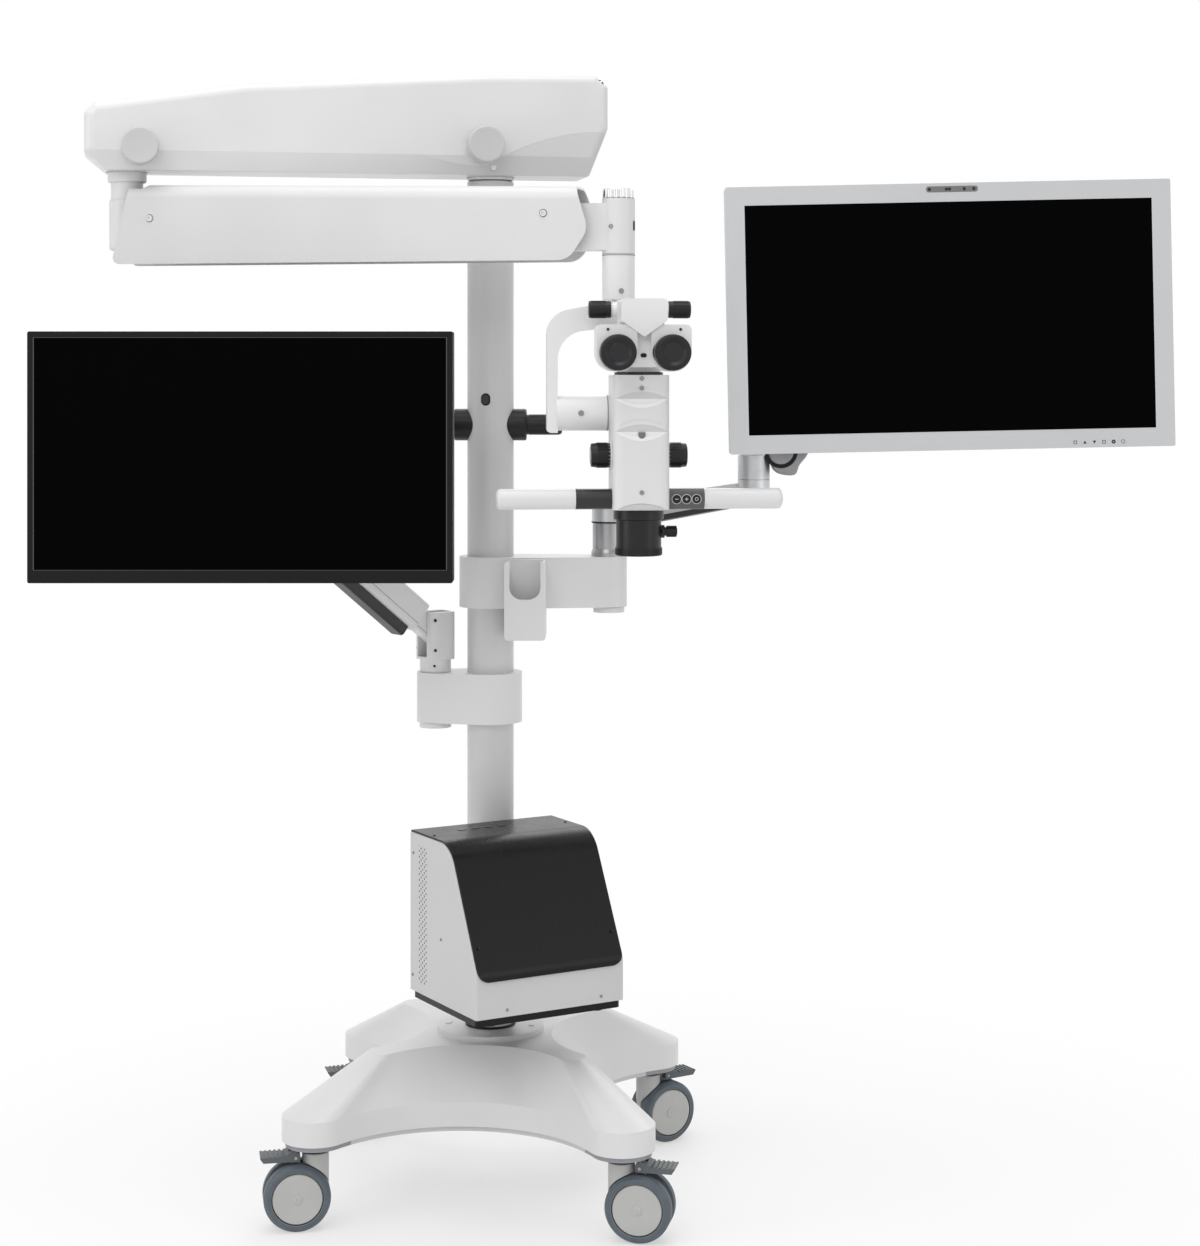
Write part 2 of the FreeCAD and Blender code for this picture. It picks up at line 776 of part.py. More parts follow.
def column_tube():
    inside = s.column_round - s.column_wall
    foot = s.cover_bottom
    shoulder = s.column_tall
    profile = [
        (inside, foot),
        (s.column_round, foot),
        (s.column_round, shoulder - 2, 1.5),
        (s.column_round - 4, shoulder),
        (s.spigot_round, shoulder),
        (s.spigot_round, shoulder + s.spigot_long),
        (0, shoulder + s.spigot_long),
        (0, shoulder - 20),
        (inside, shoulder - 20),
    ]
    piece = Piece("column_tube")
    piece.turn([profile])
    wide = s.socket_wide / 2
    high = s.socket_tall / 2
    oval = box_loop(-6 - wide, s.socket_high - high, -6 + wide, s.socket_high + high, wide * 0.98)
    piece.cut("XZ_Plane", [oval], s.column_round - 1.5, 5)
    piece.place(column_x, column_y, 0)


def push_handle():
    """Grip bar through the column, turned about its own length."""
    side = [
        (s.grip_reach, 0),
        (s.grip_reach, s.grip_rod_round, 5),
        (s.grip_collar_reach, s.grip_rod_round),
        (s.grip_collar_reach, s.grip_collar_round, 3),
    ]
    mirrored = [(-corner[0], corner[1]) + tuple(corner[2:]) for corner in reversed(side)]
    piece = Piece("push_handle")
    piece.turn([side + mirrored], "XZ_Plane", "H_Axis")
    piece.cut("XY_Plane", [Disc(0, 0, s.column_round)], -s.grip_collar_round * 2, s.grip_collar_round * 4)
    piece.place(column_x, column_y, s.grip_high)


def lower_bracket():
    piece = Piece("lower_bracket")
    out = -s.low_lobe_out
    clamp_shape(piece, s.low_clamp_round, s.low_lobe_round, out, 0, s.low_clamp_tall)
    piece.cut("XY_Plane", [Disc(0, 0, s.column_round)], 0, s.low_clamp_tall)
    bore = Disc(out, 0, s.pin_round + s.pivot_gap)
    piece.cut("XY_Plane", [bore], s.low_clamp_tall - s.pin_deep - s.turn_gap, s.pin_deep + s.turn_gap)
    piece.pad("XY_Plane", [Disc(out, 0, s.low_lobe_round - 4)], -s.clamp_cap_tall, s.clamp_cap_tall)
    piece.place(column_x, column_y, s.low_clamp_floor)


def upper_bracket():
    piece = Piece("upper_bracket")
    clamp_shape(piece, s.high_clamp_round, s.high_lobe_round, s.high_lobe_out, 0, s.high_clamp_tall)
    piece.cut("XY_Plane", [Disc(0, 0, s.column_round)], 0, s.high_clamp_tall)
    cap = Disc(s.high_lobe_out, 0, s.high_lobe_round - 4)
    piece.pad("XY_Plane", [cap], -s.clamp_cap_tall, s.clamp_cap_tall)
    piece.place(column_x, column_y, s.high_clamp_floor)


def accessory_holder():
    """Open pocket on the front of the upper bracket, its front wall cut down to a round lip."""
    half = s.holder_wide / 2
    left = s.holder_middle - half
    right = s.holder_middle + half
    back = s.high_lobe_round
    front = s.high_clamp_round + s.holder_deep
    tall = s.holder_top - s.holder_floor
    wall = s.holder_wall
    lip = s.holder_lip - s.holder_floor
    inside = s.high_clamp_round + wall
    piece = Piece("accessory_holder")
    piece.pad("XZ_Plane", [box_loop(left, 0, right, tall, 6)], back, front - back)
    pocket = box_loop(left + wall, -front + wall, right - wall, -inside, 5)
    piece.cut("XY_Plane", [pocket], wall, tall)
    mouth = [
        (left + wall * 2, tall + 5),
        (left + wall * 2, lip, half * 0.6),
        (right - wall * 2, lip, half * 0.6),
        (right - wall * 2, tall + 5),
    ]
    piece.cut("XZ_Plane", [mouth], front - wall * 1.5, wall * 2)
    clamp_shape(
        piece,
        s.high_clamp_round,
        s.high_lobe_round,
        s.high_lobe_out,
        s.high_clamp_floor - s.holder_floor,
        s.high_clamp_tall,
        True,
    )
    piece.place(column_x, column_y, s.holder_floor)


# Docking station


def docking_station():
    """Sloped cabinet, its wrapped cover, and the plinth on a shelf clamped to the column."""
    left = s.dock_middle - s.dock_wide / 2
    back = -s.dock_back
    low_front = back - s.dock_deep
    top_front = back - s.dock_top_deep
    floor = s.dock_floor + s.plinth_tall
    thick = s.dock_cover_thick
    body = Piece("dock_body")
    body_loop = [
        (back, floor),
        (low_front, floor),
        (low_front, s.dock_front_low, s.dock_low_round),
        (top_front, s.dock_top, s.dock_bend_round),
        (back, s.dock_top),
    ]
    body.pad("YZ_Plane", [body_loop], left, s.dock_wide)

    def front_edge(edge):
        box = edge.BoundBox
        in_side = box.XLength < 0.01
        return in_side and box.ZMax > floor.number + 1 and box.YMin < back.number - 1

    body.round_edges(s.dock_cover_margin, front_edge)

    cover = Piece("dock_cover")
    run = s.dock_deep - s.dock_top_deep
    rise = s.dock_top - s.dock_front_low
    slope = root(run * run + rise * rise)
    top_mitre = top_front - thick * (slope - run) / rise
    low_mitre = s.dock_front_low + thick * (slope - rise) / run
    wrap_low = s.dock_top - s.dock_cover_wrap
    cover_loop = [
        (low_front, s.dock_cover_low),
        (low_front, s.dock_front_low, s.dock_low_round),
        (top_front, s.dock_top, s.dock_bend_round),
        (back, s.dock_top),
        (back, wrap_low),
        (back + thick, wrap_low),
        (back + thick, s.dock_top + thick, thick),
        (top_mitre, s.dock_top + thick, s.dock_bend_round + thick),
        (low_front - thick, low_mitre, s.dock_low_round + thick),
        (low_front - thick, s.dock_cover_low),
    ]
    margin = s.dock_cover_margin
    cover_wide = s.dock_wide - margin * 2
    cover.pad("YZ_Plane", [cover_loop], left + margin, cover_wide)
    low = s.dock_cover_low
    corner = s.dock_cover_corner
    for side, away in ((left + margin, -1), (left + margin + cover_wide, 1)):
        spandrel = [
            (side + away * 2, low - 2),
            (side - away * corner * 1.5, low - 2),
            (side - away * corner * 1.5, low),
            (side, low, corner),
            (side, low + corner * 1.5),
            (side + away * 2, low + corner * 1.5),
        ]
        cover.cut("XZ_Plane", [spandrel], s.dock_back, s.dock_deep + 20)

    plinth = Piece("dock_plinth")
    inset = 3
    plinth_loop = box_loop(left + inset, low_front + inset, left + s.dock_wide - inset, back - inset, 8)
    plinth.pad("XY_Plane", [plinth_loop], s.dock_floor, s.plinth_tall)

    ring_tall = 34
    under = s.dock_floor - s.shelf_thick
    shelf_loop = box_loop(left + 30, low_front + 40, left + s.dock_wide - 30, back - inset, 10)
    shelf = plinth
    shelf.pad("XY_Plane", [shelf_loop], under, s.shelf_thick)
    neck = box_loop(-s.column_round, back - 20, s.column_round, 0)
    shelf.pad("XY_Plane", [neck], under - ring_tall, ring_tall)
    shelf.pad("XY_Plane", [Disc(0, 0, s.column_round + 9)], under - ring_tall, ring_tall)
    shelf.cut("XY_Plane", [Disc(0, 0, s.column_round)], under - ring_tall, ring_tall * 2)
    for item in (body, cover, plinth):
        item.place(column_x, column_y, 0, s.dock_yaw)


# Left monitor arm

left_pivot_x = column_x - s.low_lobe_out
left_post_floor = s.low_clamp_floor + s.low_clamp_tall + s.turn_gap


def left_swivel():
    """Turning post on the lower bracket: pin, collar and the forked block of the lift joint."""
    block_floor = s.left_post_tall
    half = s.left_block_wide / 2
    lift = s.left_lift_high - left_post_floor
    piece = Piece("left_swivel")
    piece.pad("XY_Plane", [Disc(0, 0, s.pin_round)], -s.pin_deep, s.pin_deep + 1)
    piece.pad("XY_Plane", [Disc(0, 0, s.left_post_round)], 0, s.left_post_tall)
    piece.pad("XY_Plane", [box_loop(-half, -half, half, half, 12)], block_floor, s.left_block_tall)
    slot = s.tongue_wide / 2 + s.turn_gap
    slot_floor = block_floor + 4
    piece.cut(
        "XY_Plane", [box_loop(-half + 3, -slot, half + 3, slot)], slot_floor, s.left_block_tall
    )
    piece.pad("XZ_Plane", [Disc(0, lift, s.lift_pin_round)], 0, s.left_block_wide - 4, True)
    piece.place(left_pivot_x, column_y, left_post_floor, s.left_arm_yaw)


def left_beam():
    """Parallel-spring beam: slim tongues in the forks, a wide body and the cable channel under it."""
    long = s.left_arm_long
    tongue = s.tongue_round
    shoulder = s.left_block_wide / 2 + 25
    half = s.left_beam_tall / 2
    wide = s.left_beam_wide / 2
    piece = Piece("left_beam")
    for middle in (0, long):
        piece.pad("XZ_Plane", [Disc(middle, 0, tongue)], 0, s.tongue_wide, True)
    piece.pad("XZ_Plane", [box_loop(0, -tongue, long, tongue)], 0, s.tongue_wide, True)
    section = box_loop(-wide, -half, wide, half, 9)
    piece.pad("YZ_Plane", [section], shoulder, long - shoulder * 2)
    top = -half
    half_strip = wide - 4
    channel = [
        (-half_strip, top),
        (-half_strip, top - s.left_strip_tall, 5),
        (half_strip, top - s.left_strip_tall, 5),
        (half_strip, top),
    ]
    piece.pad("YZ_Plane", [channel], shoulder + 10, long - shoulder * 2 - 20)
    for middle in (0, long):
        piece.cut("XZ_Plane", [Disc(middle, 0, s.lift_pin_round + s.pivot_gap)], 0, s.left_beam_wide, True)
    piece.place(left_pivot_x, column_y, s.left_lift_high, s.left_arm_yaw, -s.left_arm_rise)


left_wrist_x = left_pivot_x + s.left_arm_long * cosine(s.left_arm_rise) * cosine(s.left_arm_yaw)
left_wrist_y = column_y + s.left_arm_long * cosine(s.left_arm_rise) * sine(s.left_arm_yaw)
left_wrist_z = s.left_lift_high + s.left_arm_long * sine(s.left_arm_rise)


def wrist(label, x, y, z, yaw):
    """Forked end block that stays upright on the beam and carries an upright pin."""
    half = s.wrist_wide / 2
    slot = s.tongue_wide / 2 + s.turn_gap
    top = s.tongue_round + 5
    low = -s.tongue_round - 2
    piece = Piece(label)
    piece.pad("XY_Plane", [box_loop(-half, -half, half, half, 10)], low, top - low)
    piece.cut("XY_Plane", [box_loop(-half - 3, -slot, half - 2, slot)], low - 3, top - low - 2)
    piece.pad("XZ_Plane", [Disc(0, 0, s.lift_pin_round)], 0, s.wrist_wide - 4, True)
    piece.pad("XY_Plane", [Disc(0, 0, s.upright_pin_round)], top, s.sleeve_tall - 4)
    piece.place(x, y, z, yaw)


def monitor_mount(label, x, y, z):
    """Sleeve that turns on the wrist's pin, with a barrel for the tilt hinge."""
    reach = s.tilt_reach
    middle = s.sleeve_tall / 2
    pin_room = s.sleeve_tall - 4 + 0.6
    piece = Piece(label)
    piece.pad("XY_Plane", [Disc(0, 0, s.sleeve_round)], 0, s.sleeve_tall)
    piece.pad("YZ_Plane", [Disc(-reach, middle, s.barrel_round)], 0, s.barrel_wide, True)
    arm = box_loop(-reach, middle - s.barrel_round * 0.8, 0, middle + s.barrel_round * 0.8)
    piece.pad("YZ_Plane", [arm], 0, s.barrel_wide, True)
    piece.cut("XY_Plane", [Disc(0, 0, s.upright_pin_round + s.pivot_gap)], 0, pin_room)
    piece.cut("YZ_Plane", [Disc(-reach, middle, s.tilt_pin_round + s.pivot_gap)], 0, s.barrel_wide, True)
    piece.place(x, y, z)


def rolled(corners, roll):
    """The same corners turned about the sketch's origin."""
    turned = []
    for corner in corners:
        across = corner[0] * cosine(roll) - corner[1] * sine(roll)
        up = corner[0] * sine(roll) + corner[1] * cosine(roll)
        turned.append((across, up) + tuple(corner[2:]))
    return turned


def monitor(name, wide, tall, thick, rim, chin, x, tilt_y, tilt_z, drop, roll):
    """Monitor case with its back plate and tilt ears, and the panel set in its frame."""
    half = wide / 2
    high = tall / 2
    back = s.barrel_round + 2
    ear_from = s.barrel_wide / 2 + s.turn_gap
    case = Piece(f"{name}_monitor_case")
    middle = -as_size(drop)
    frame = rolled(box_loop(-half, middle - high, half, middle + high, 3), roll)
    case.pad("XZ_Plane", [frame], back + s.back_plate, thick)
    bulge = box_loop(-half * 0.62, middle - high * 0.6, half * 0.62, middle + high * 0.6, 20)
    case.pad("XZ_Plane", [bulge], back, s.back_plate)
    for start in (ear_from, -ear_from - s.ear_thick):
        ear = [
            (-back, -s.barrel_round - 3),
            (s.barrel_round - 2, -s.barrel_round + 1, 6),
            (s.barrel_round - 2, s.barrel_round - 1, 6),
            (-back, s.barrel_round + 3),
        ]
        case.pad("YZ_Plane", [ear], start, s.ear_thick)
    case.pad("YZ_Plane", [Disc(0, 0, s.tilt_pin_round)], 0, s.barrel_wide + s.ear_thick * 2, True)
    window = [
        (-half + rim, middle - high + chin),
        (half - rim, middle - high + chin),
        (half - rim, middle + high - rim),
        (-half + rim, middle + high - rim),
    ]
    face = back + s.back_plate + thick
    window = rolled(window, roll)
    case.cut("XZ_Plane", [window], face - s.panel_thick - s.panel_sunk, s.panel_thick + s.panel_sunk)
    case.place(x, tilt_y, tilt_z)

    panel = Piece(f"{name}_monitor_panel")
    panel.pad("XZ_Plane", [window], face - s.panel_thick - s.panel_sunk, s.panel_thick)
    panel.place(x, tilt_y, tilt_z)


# Right monitor arm

post_top = s.high_clamp_floor + s.high_clamp_tall + s.right_post_tall
right_post_x = column_x + s.high_lobe_out
right_elbow_x = right_post_x + s.right_arm_long * cosine(s.right_arm_yaw)
right_elbow_y = column_y + s.right_arm_long * sine(s.right_arm_yaw)
right_elbow_z = post_top + s.turn_gap + s.right_arm_climb + s.right_end_tall


def right_post():
    """Chrome post on the upper bracket with the pin that the arm turns on."""
    base = s.high_clamp_floor + s.high_clamp_tall
    profile = [
        (0, 0),
        (s.right_post_round, 0),
        (s.right_post_round, 6, 2),
        (s.right_post_top_round, 12, 2),
        (s.right_post_top_round, s.right_post_tall),
        (s.pin_round, s.right_post_tall),
        (s.pin_round, s.right_post_tall + s.pin_deep),
        (0, s.right_post_tall + s.pin_deep),
    ]
    Piece("right_post").turn([profile]).place(right_post_x, column_y, base)


def right_beam():
    """Cast arm that climbs from the hub on the post to the elbow, with its cable channel."""
    long = s.right_arm_long
    hub_tall = s.right_hub_tall
    climb = s.right_arm_climb
    end_tall = s.right_end_tall
    half = s.right_post_top_round * 0.62
    piece = Piece("right_beam")
    piece.pad("XY_Plane", [Disc(0, 0, s.right_post_top_round + 1)], 0, hub_tall)
    piece.pad("XY_Plane", [Disc(long, 0, s.right_elbow_round)], climb, end_tall)
    side = [
        (0, 4),
        (s.right_post_round + 8, 4, 20),
        (long, climb + 2),
        (long, climb + end_tall - 3),
        (s.right_post_round + 14, hub_tall - 2, 30),
        (0, hub_tall - 2),
    ]
    piece.pad("XZ_Plane", [side], 0, half * 2, True)
    strip_start = s.right_post_round + 40
    strip_stop = long - s.right_elbow_round - 6
    run = long - s.right_post_round - 8
    rise = climb - 2
    low = 4 + rise * (strip_start - s.right_post_round - 8) / run
    high = 4 + rise * (strip_stop - s.right_post_round - 8) / run
    strip = [(strip_start, low), (strip_start + 8, low - 9, 4), (strip_stop, high - 9), (strip_stop, high)]
    piece.pad("XZ_Plane", [strip], 0, s.right_post_top_round, True)
    piece.cut("XY_Plane", [Disc(0, 0, s.pin_round + s.pivot_gap)], 0, s.pin_deep + s.turn_gap)
    piece.pad("XY_Plane", [Disc(long, 0, s.pin_round)], climb + end_tall, s.pin_deep)
    piece.place(right_post_x, column_y, post_top + s.turn_gap, s.right_arm_yaw)


def right_elbow():
    """Swivel block on the elbow pin with the fork of the lifting link."""
    lift = s.right_swivel_tall
    half = s.wrist_wide / 2
    slot = s.tongue_wide / 2 + s.turn_gap
    piece = Piece("right_elbow")
    piece.pad("XY_Plane", [Disc(0, 0, s.right_elbow_round)], 0, lift)
    block_floor = lift
    piece.pad("XY_Plane", [box_loop(-half, -half, half, half, 10)], block_floor, s.tongue_round * 2 + 6)
    piece.cut("XY_Plane", [box_loop(-half + 3, -slot, half + 3, slot)], block_floor + 2, s.tongue_round * 3)
    piece.pad(
        "XZ_Plane", [Disc(0, block_floor + 3 + s.tongue_round, s.lift_pin_round)], 0, s.wrist_wide - 4, True
    )
    piece.cut("XY_Plane", [Disc(0, 0, s.pin_round + s.pivot_gap)], 0, s.pin_deep + s.turn_gap)
    piece.place(right_elbow_x, right_elbow_y, right_elbow_z + s.turn_gap, s.right_link_yaw)


right_lift_z = right_elbow_z + s.turn_gap + s.right_swivel_tall + 3 + s.tongue_round


def right_link():
    """Sprung link from the elbow up to the wrist behind the monitor."""
    long = s.right_link_long
    tongue = s.tongue_round
    shoulder = s.wrist_wide / 2 + 12
    wide = s.right_link_wide / 2
    piece = Piece("right_link")
    for middle in (0, long):
        piece.pad("XZ_Plane", [Disc(middle, 0, tongue)], 0, s.tongue_wide, True)
    piece.pad("XZ_Plane", [box_loop(0, -tongue, long, tongue)], 0, s.tongue_wide, True)
    section = box_loop(-wide, -tongue - 4, wide, tongue + 4, 8)
    piece.pad("YZ_Plane", [section], shoulder, long - shoulder * 2)
    for middle in (0, long):
        piece.cut("XZ_Plane", [Disc(middle, 0, s.lift_pin_round + s.pivot_gap)], 0, wide * 2, True)
    piece.place(right_elbow_x, right_elbow_y, right_lift_z, s.right_link_yaw, -s.right_link_rise)


right_wrist_x = right_elbow_x + s.right_link_long * cosine(s.right_link_rise) * cosine(s.right_link_yaw)
right_wrist_y = right_elbow_y + s.right_link_long * cosine(s.right_link_rise) * sine(s.right_link_yaw)
right_wrist_z = right_lift_z + s.right_link_long * sine(s.right_link_rise)

# Extension arm on top of the column

elbow_knob_along = s.top_arm_long - s.elbow_knob_short


def top_arm():
    """Cast beam that turns on the column's spigot, and the moulded cover around it."""
    long = s.top_arm_long
    floor = s.top_arm_floor
    beam_floor = floor + s.cover_sheet + 2
    beam_tall = 46
    hub = s.spigot_round + 14
    beam = Piece("top_arm_beam")
    beam.pad("XY_Plane", [Disc(0, 0, hub)], s.column_tall + s.turn_gap, s.spigot_long + 40)
    beam.pad("XY_Plane", [Disc(long, 0, s.elbow_flange_round)], s.elbow_top + s.turn_gap, beam_tall + 20)
    bar = box_loop(0, -hub * 0.7, long, hub * 0.7)
    beam.pad("XY_Plane", [bar], beam_floor, beam_tall)
    beam.cut("XY_Plane", [Disc(0, 0, s.spigot_round + s.pivot_gap)], s.column_tall, s.spigot_long + 1.5)
    beam.cut("XY_Plane", [Disc(long, 0, s.pin_round + 4 + s.pivot_gap)], s.elbow_top, s.elbow_pin_long + 1)
    spindles = (
        Disc(s.column_knob_along, s.column_knob_high, s.spindle_round + s.pivot_gap),
        Disc(elbow_knob_along, s.elbow_knob_high, s.spindle_round + s.pivot_gap),
    )
    bore_from = s.top_arm_deep / 2 - s.spindle_long
    for spindle in spindles:
        beam.cut("XZ_Plane", [spindle], -hub, hub - bore_from)
    beam.place(column_x, column_y, 0, s.top_arm_yaw)

    left = s.top_cover_left
    right = -s.top_cover_right
    outer = [
        (right + 30, floor, 6),
        (left - 32, floor, 4),
        (left, floor + 27, 4),
        (left, floor + 87, 4),
        (left - 14, floor + 102, 12),
        (left - 243, floor + 135, 60),
        (0, floor + 158, 60),
        (right + 19, floor + 160, 6),
        (right, floor + 143, 6),
        (right, floor + 75, 12),
    ]
    depth = s.top_arm_deep
    cover = Piece("top_arm_cover")
    cover.pad("XZ_Plane", [outer], 0, depth, True)

    def upper_edge(edge):
        box = edge.BoundBox
        return box.YLength < 0.01 and box.ZMax > floor.number + 60

    cover.round_edges(s.cover_bend, upper_edge)
    half = depth / 2
    crease = floor + s.bevel_tall
    for side in (-1, 1):
        wedge = [
            (half * side + 5 * side, floor - 5),
            ((half - s.bevel_deep) * side, floor - 5),
            ((half - s.bevel_deep) * side, floor),
            (half * side, crease),
            (half * side + 5 * side, crease),
        ]
        cover.cut("YZ_Plane", [wedge], right - 5, left - right + 10)
    sheet_wall = s.cover_sheet
    upper_room = [
        (right + 24, crease + 4),
        (left - 6, crease + 4),
        (left - 6, floor + 82),
        (left - 20, floor + 96),
        (left - 243, floor + 129),
        (0, floor + 152),
        (right + 8, floor + 152),
        (right + 6, floor + 75),
    ]
    lower_room = [
        (right + 36, floor + sheet_wall),
        (left - 36, floor + sheet_wall),
        (left - 8, crease),
        (left - 8, crease + 5),
        (right + 25, crease + 5),
    ]
    cover.cut("XZ_Plane", [upper_room], 0, depth - sheet_wall * 2, True)
    cover.cut("XZ_Plane", [lower_room], 0, depth - (sheet_wall + s.bevel_deep) * 2, True)
    cover.cut("XY_Plane", [Disc(0, 0, hub + 2)], floor - 2, 10)
    cover.cut("XY_Plane", [Disc(long, 0, s.elbow_flange_round + 2)], floor - 2, 10)
    for along, high in (
        (s.column_knob_along, s.column_knob_high),
        (elbow_knob_along, s.elbow_knob_high),
    ):
        cover.cut("XZ_Plane", [Disc(along, high, s.spindle_round + 1)], -s.top_arm_deep / 2 - 1, 24)
    cover.place(column_x, column_y, 0, s.top_arm_yaw)


def lock_knob(label, along, high):
    """Round lock knob on the front of the extension arm, on its own short spindle."""
    face = s.top_arm_deep / 2
    piece = Piece(label)
    profile = [
        (0, 0),
        (s.knob_round - 6, 0),
        (s.knob_round, 6, 2),
        (s.knob_round, s.knob_proud - 4, 3),
        (s.knob_round - 5, s.knob_proud, 3),
        (0, s.knob_proud),
    ]
    piece.turn([profile])
    piece.pad("XY_Plane", [Disc(0, 0, s.spindle_round)], -s.spindle_long, s.spindle_long + 1)
    front = face + s.turn_gap
    across = column_x + along * cosine(s.top_arm_yaw) - front * sine(s.top_arm_yaw)
    back = column_y + along * sine(s.top_arm_yaw) + front * cosine(s.top_arm_yaw)
    piece.place(across, back, high, s.top_arm_yaw + 180, 0, 90)


elbow_pin_round = s.pin_round + 4
elbow_x = column_x + s.top_arm_long * cosine(s.top_arm_yaw)
elbow_y = column_y + s.top_arm_long * sine(s.top_arm_yaw)
head_x = elbow_x + s.spring_arm_long * cosine(s.spring_arm_yaw)
head_y = elbow_y + s.spring_arm_long * sine(s.spring_arm_yaw)
link_from = s.elbow_reach
link_to = s.spring_arm_long - s.head_reach
link_low = s.link_high - s.link_spread
upper_link_outer = s.spring_cover_wide / 2 - s.spring_cover_sheet
lower_link_outer = upper_link_outer - 6


def clevis(piece, pin_at, reach, side, floor, top):
    """Tongue between the links with both hinge pins through it."""
    half = s.clevis_wide / 2
    near = pin_at - 13 if side > 0 else pin_at + 13
    loop = [(near, floor, 9), (near, top, 9), (reach, top), (reach, floor)]
    piece.pad("XZ_Plane", [loop], 0, half * 2, True)
    for high, long in ((s.link_high, s.spring_cover_wide + 3), (link_low, lower_link_outer * 2 + 2)):
        piece.pad("XZ_Plane", [Disc(pin_at, high, s.link_pin_round)], 0, long, True)


def elbow_block():
    """Upright pin, flange, neck and block of the elbow, with the tongue for the links."""
    piece = Piece("elbow_block")
    top = s.elbow_top
    profile = [
        (0, s.elbow_floor),
        (s.elbow_round, s.elbow_floor, 4),
        (s.elbow_round, top - 42, 3),
        (s.elbow_neck_round, top - 42),
        (s.elbow_neck_round, top - 16),
        (s.elbow_flange_round, top - 16, 3),
        (s.elbow_flange_round, top),
        (elbow_pin_round, top),
        (elbow_pin_round, top + s.elbow_pin_long),
        (0, top + s.elbow_pin_long),
    ]
    piece.turn([profile])
    clevis(piece, link_from, 0, -1, s.elbow_floor + 2, s.elbow_top - 50)
    piece.place(elbow_x, elbow_y, 0, s.spring_arm_yaw)


def link(label, high, outer, ties):
    """Two flat bars on the hinge pins, tied by cross plates between them."""
    half = s.link_tall / 2
    inner = s.clevis_wide / 2 + s.turn_gap
    piece = Piece(label)
    for start in (inner, -outer):
        piece.pad("XZ_Plane", [Disc(link_from, high, half)], start, outer - inner)
        piece.pad("XZ_Plane", [Disc(link_to, high, half)], start, outer - inner)
        bar = box_loop(link_from, high - half, link_to, high + half)
        piece.pad("XZ_Plane", [bar], start, outer - inner)
    for middle in (link_from, link_to):
        piece.cut("XZ_Plane", [Disc(middle, high, s.link_pin_round + s.pivot_gap)], 0, outer * 2 + 4, True)
    tie = box_loop(link_from + 60, high + ties, link_to - 60, high + ties + 5)
    piece.pad("XZ_Plane", [tie], 0, inner * 2 + 2, True)
    piece.place(elbow_x, elbow_y, 0, s.spring_arm_yaw)


def spring_cover():
    """Bent sheet over the links, open below and at both ends, round along its top edges."""
    floor = s.spring_cover_floor
    high = s.spring_cover_high
    low = s.spring_cover_low
    right = s.spring_arm_long - s.spring_cover_short
    outer = [
        (-10, floor, 10),
        (right - 30, floor, 30),
        (right, floor + 45, 30),
        (right - 20, low),
        (19, high),
    ]
    piece = Piece("spring_arm_cover")
    piece.pad("XZ_Plane", [outer], 0, s.spring_cover_wide, True)
    wall = s.spring_cover_sheet
    slope = (high - low) / (right - 39)
    room = [
        (-60, floor - 20),
        (right + 60, floor - 20),
        (right + 60, low - wall - slope * 80),
        (-60, high - wall + slope * 79),
    ]
    piece.cut("XZ_Plane", [room], 0, s.spring_cover_wide - wall * 2, True)

    def long_top_edge(half):
        return lambda edge: (
            edge.Length > 500
            and edge.BoundBox.ZMin > floor.number + 60
            and abs(abs(edge.BoundBox.YMin) - half.number) < 0.1
        )

    piece.round_edges(s.spring_cover_bend - wall, long_top_edge(s.spring_cover_wide / 2 - wall))
    piece.round_edges(s.spring_cover_bend, long_top_edge(s.spring_cover_wide / 2))
    room_half = s.elbow_flange_round + 4
    neck = box_loop(-20, -room_half, room_half + 12, room_half, 10)
    piece.cut("XY_Plane", [neck], floor + 60, 80)
    for middle in (link_from, link_to):
        hole = Disc(middle, s.link_high, s.link_pin_round + 1)
        piece.cut("XZ_Plane", [hole], 0, s.spring_cover_wide + 4, True)
    piece.place(elbow_x, elbow_y, 0, s.spring_arm_yaw)


def head_block():
    """Round block at the end of the spring arm, with its tongue and the bore for the yoke."""
    floor = s.head_floor
    top = s.head_top
    piece = Piece("head_block")
    piece.pad("XY_Plane", [Disc(s.spring_arm_long, 0, s.head_block_round)], floor, top - floor)
    clevis(piece, link_to, s.spring_arm_long, 1, floor + 5, top - 7)
    bore = s.yoke_pin_long + s.turn_gap
    piece.cut("XY_Plane", [Disc(s.spring_arm_long, 0, elbow_pin_round + s.pivot_gap)], floor, bore)
    knob_bore = Disc(s.spring_arm_long, 0, s.spindle_round + s.pivot_gap)
    piece.cut("XY_Plane", [knob_bore], top - 12, 12)
    piece.place(elbow_x, elbow_y, 0, s.spring_arm_yaw)


def head_knob():
    """Knurled friction knob on top of the head block."""
    grip = s.head_block_round
    tall = s.head_knob_tall
    piece = Piece("head_knob")
    profile = [(0, 0), (grip - 1.5, 0), (grip, 1.5), (grip, tall - 1.5), (grip - 1.5, tall), (0, tall)]
    piece.turn([profile])
    piece.cut("XY_Plane", [Disc(grip + 1.6, 0, 3)], -1, tall + 2)
    piece.around(18)
    piece.pad("XY_Plane", [Disc(0, 0, s.spindle_round)], -11, 12)
    piece.place(head_x, head_y, s.head_top + s.turn_gap)


# Microscope head, in a frame whose Z axis is the one it swings about


def in_head(piece):
    piece.place(head_x, head_y, 0, s.head_yaw)


middle_x = s.body_out
middle_y = (s.body_back - s.body_front) / 2
body_left = middle_x - s.body_wide / 2
body_right = middle_x + s.body_wide / 2


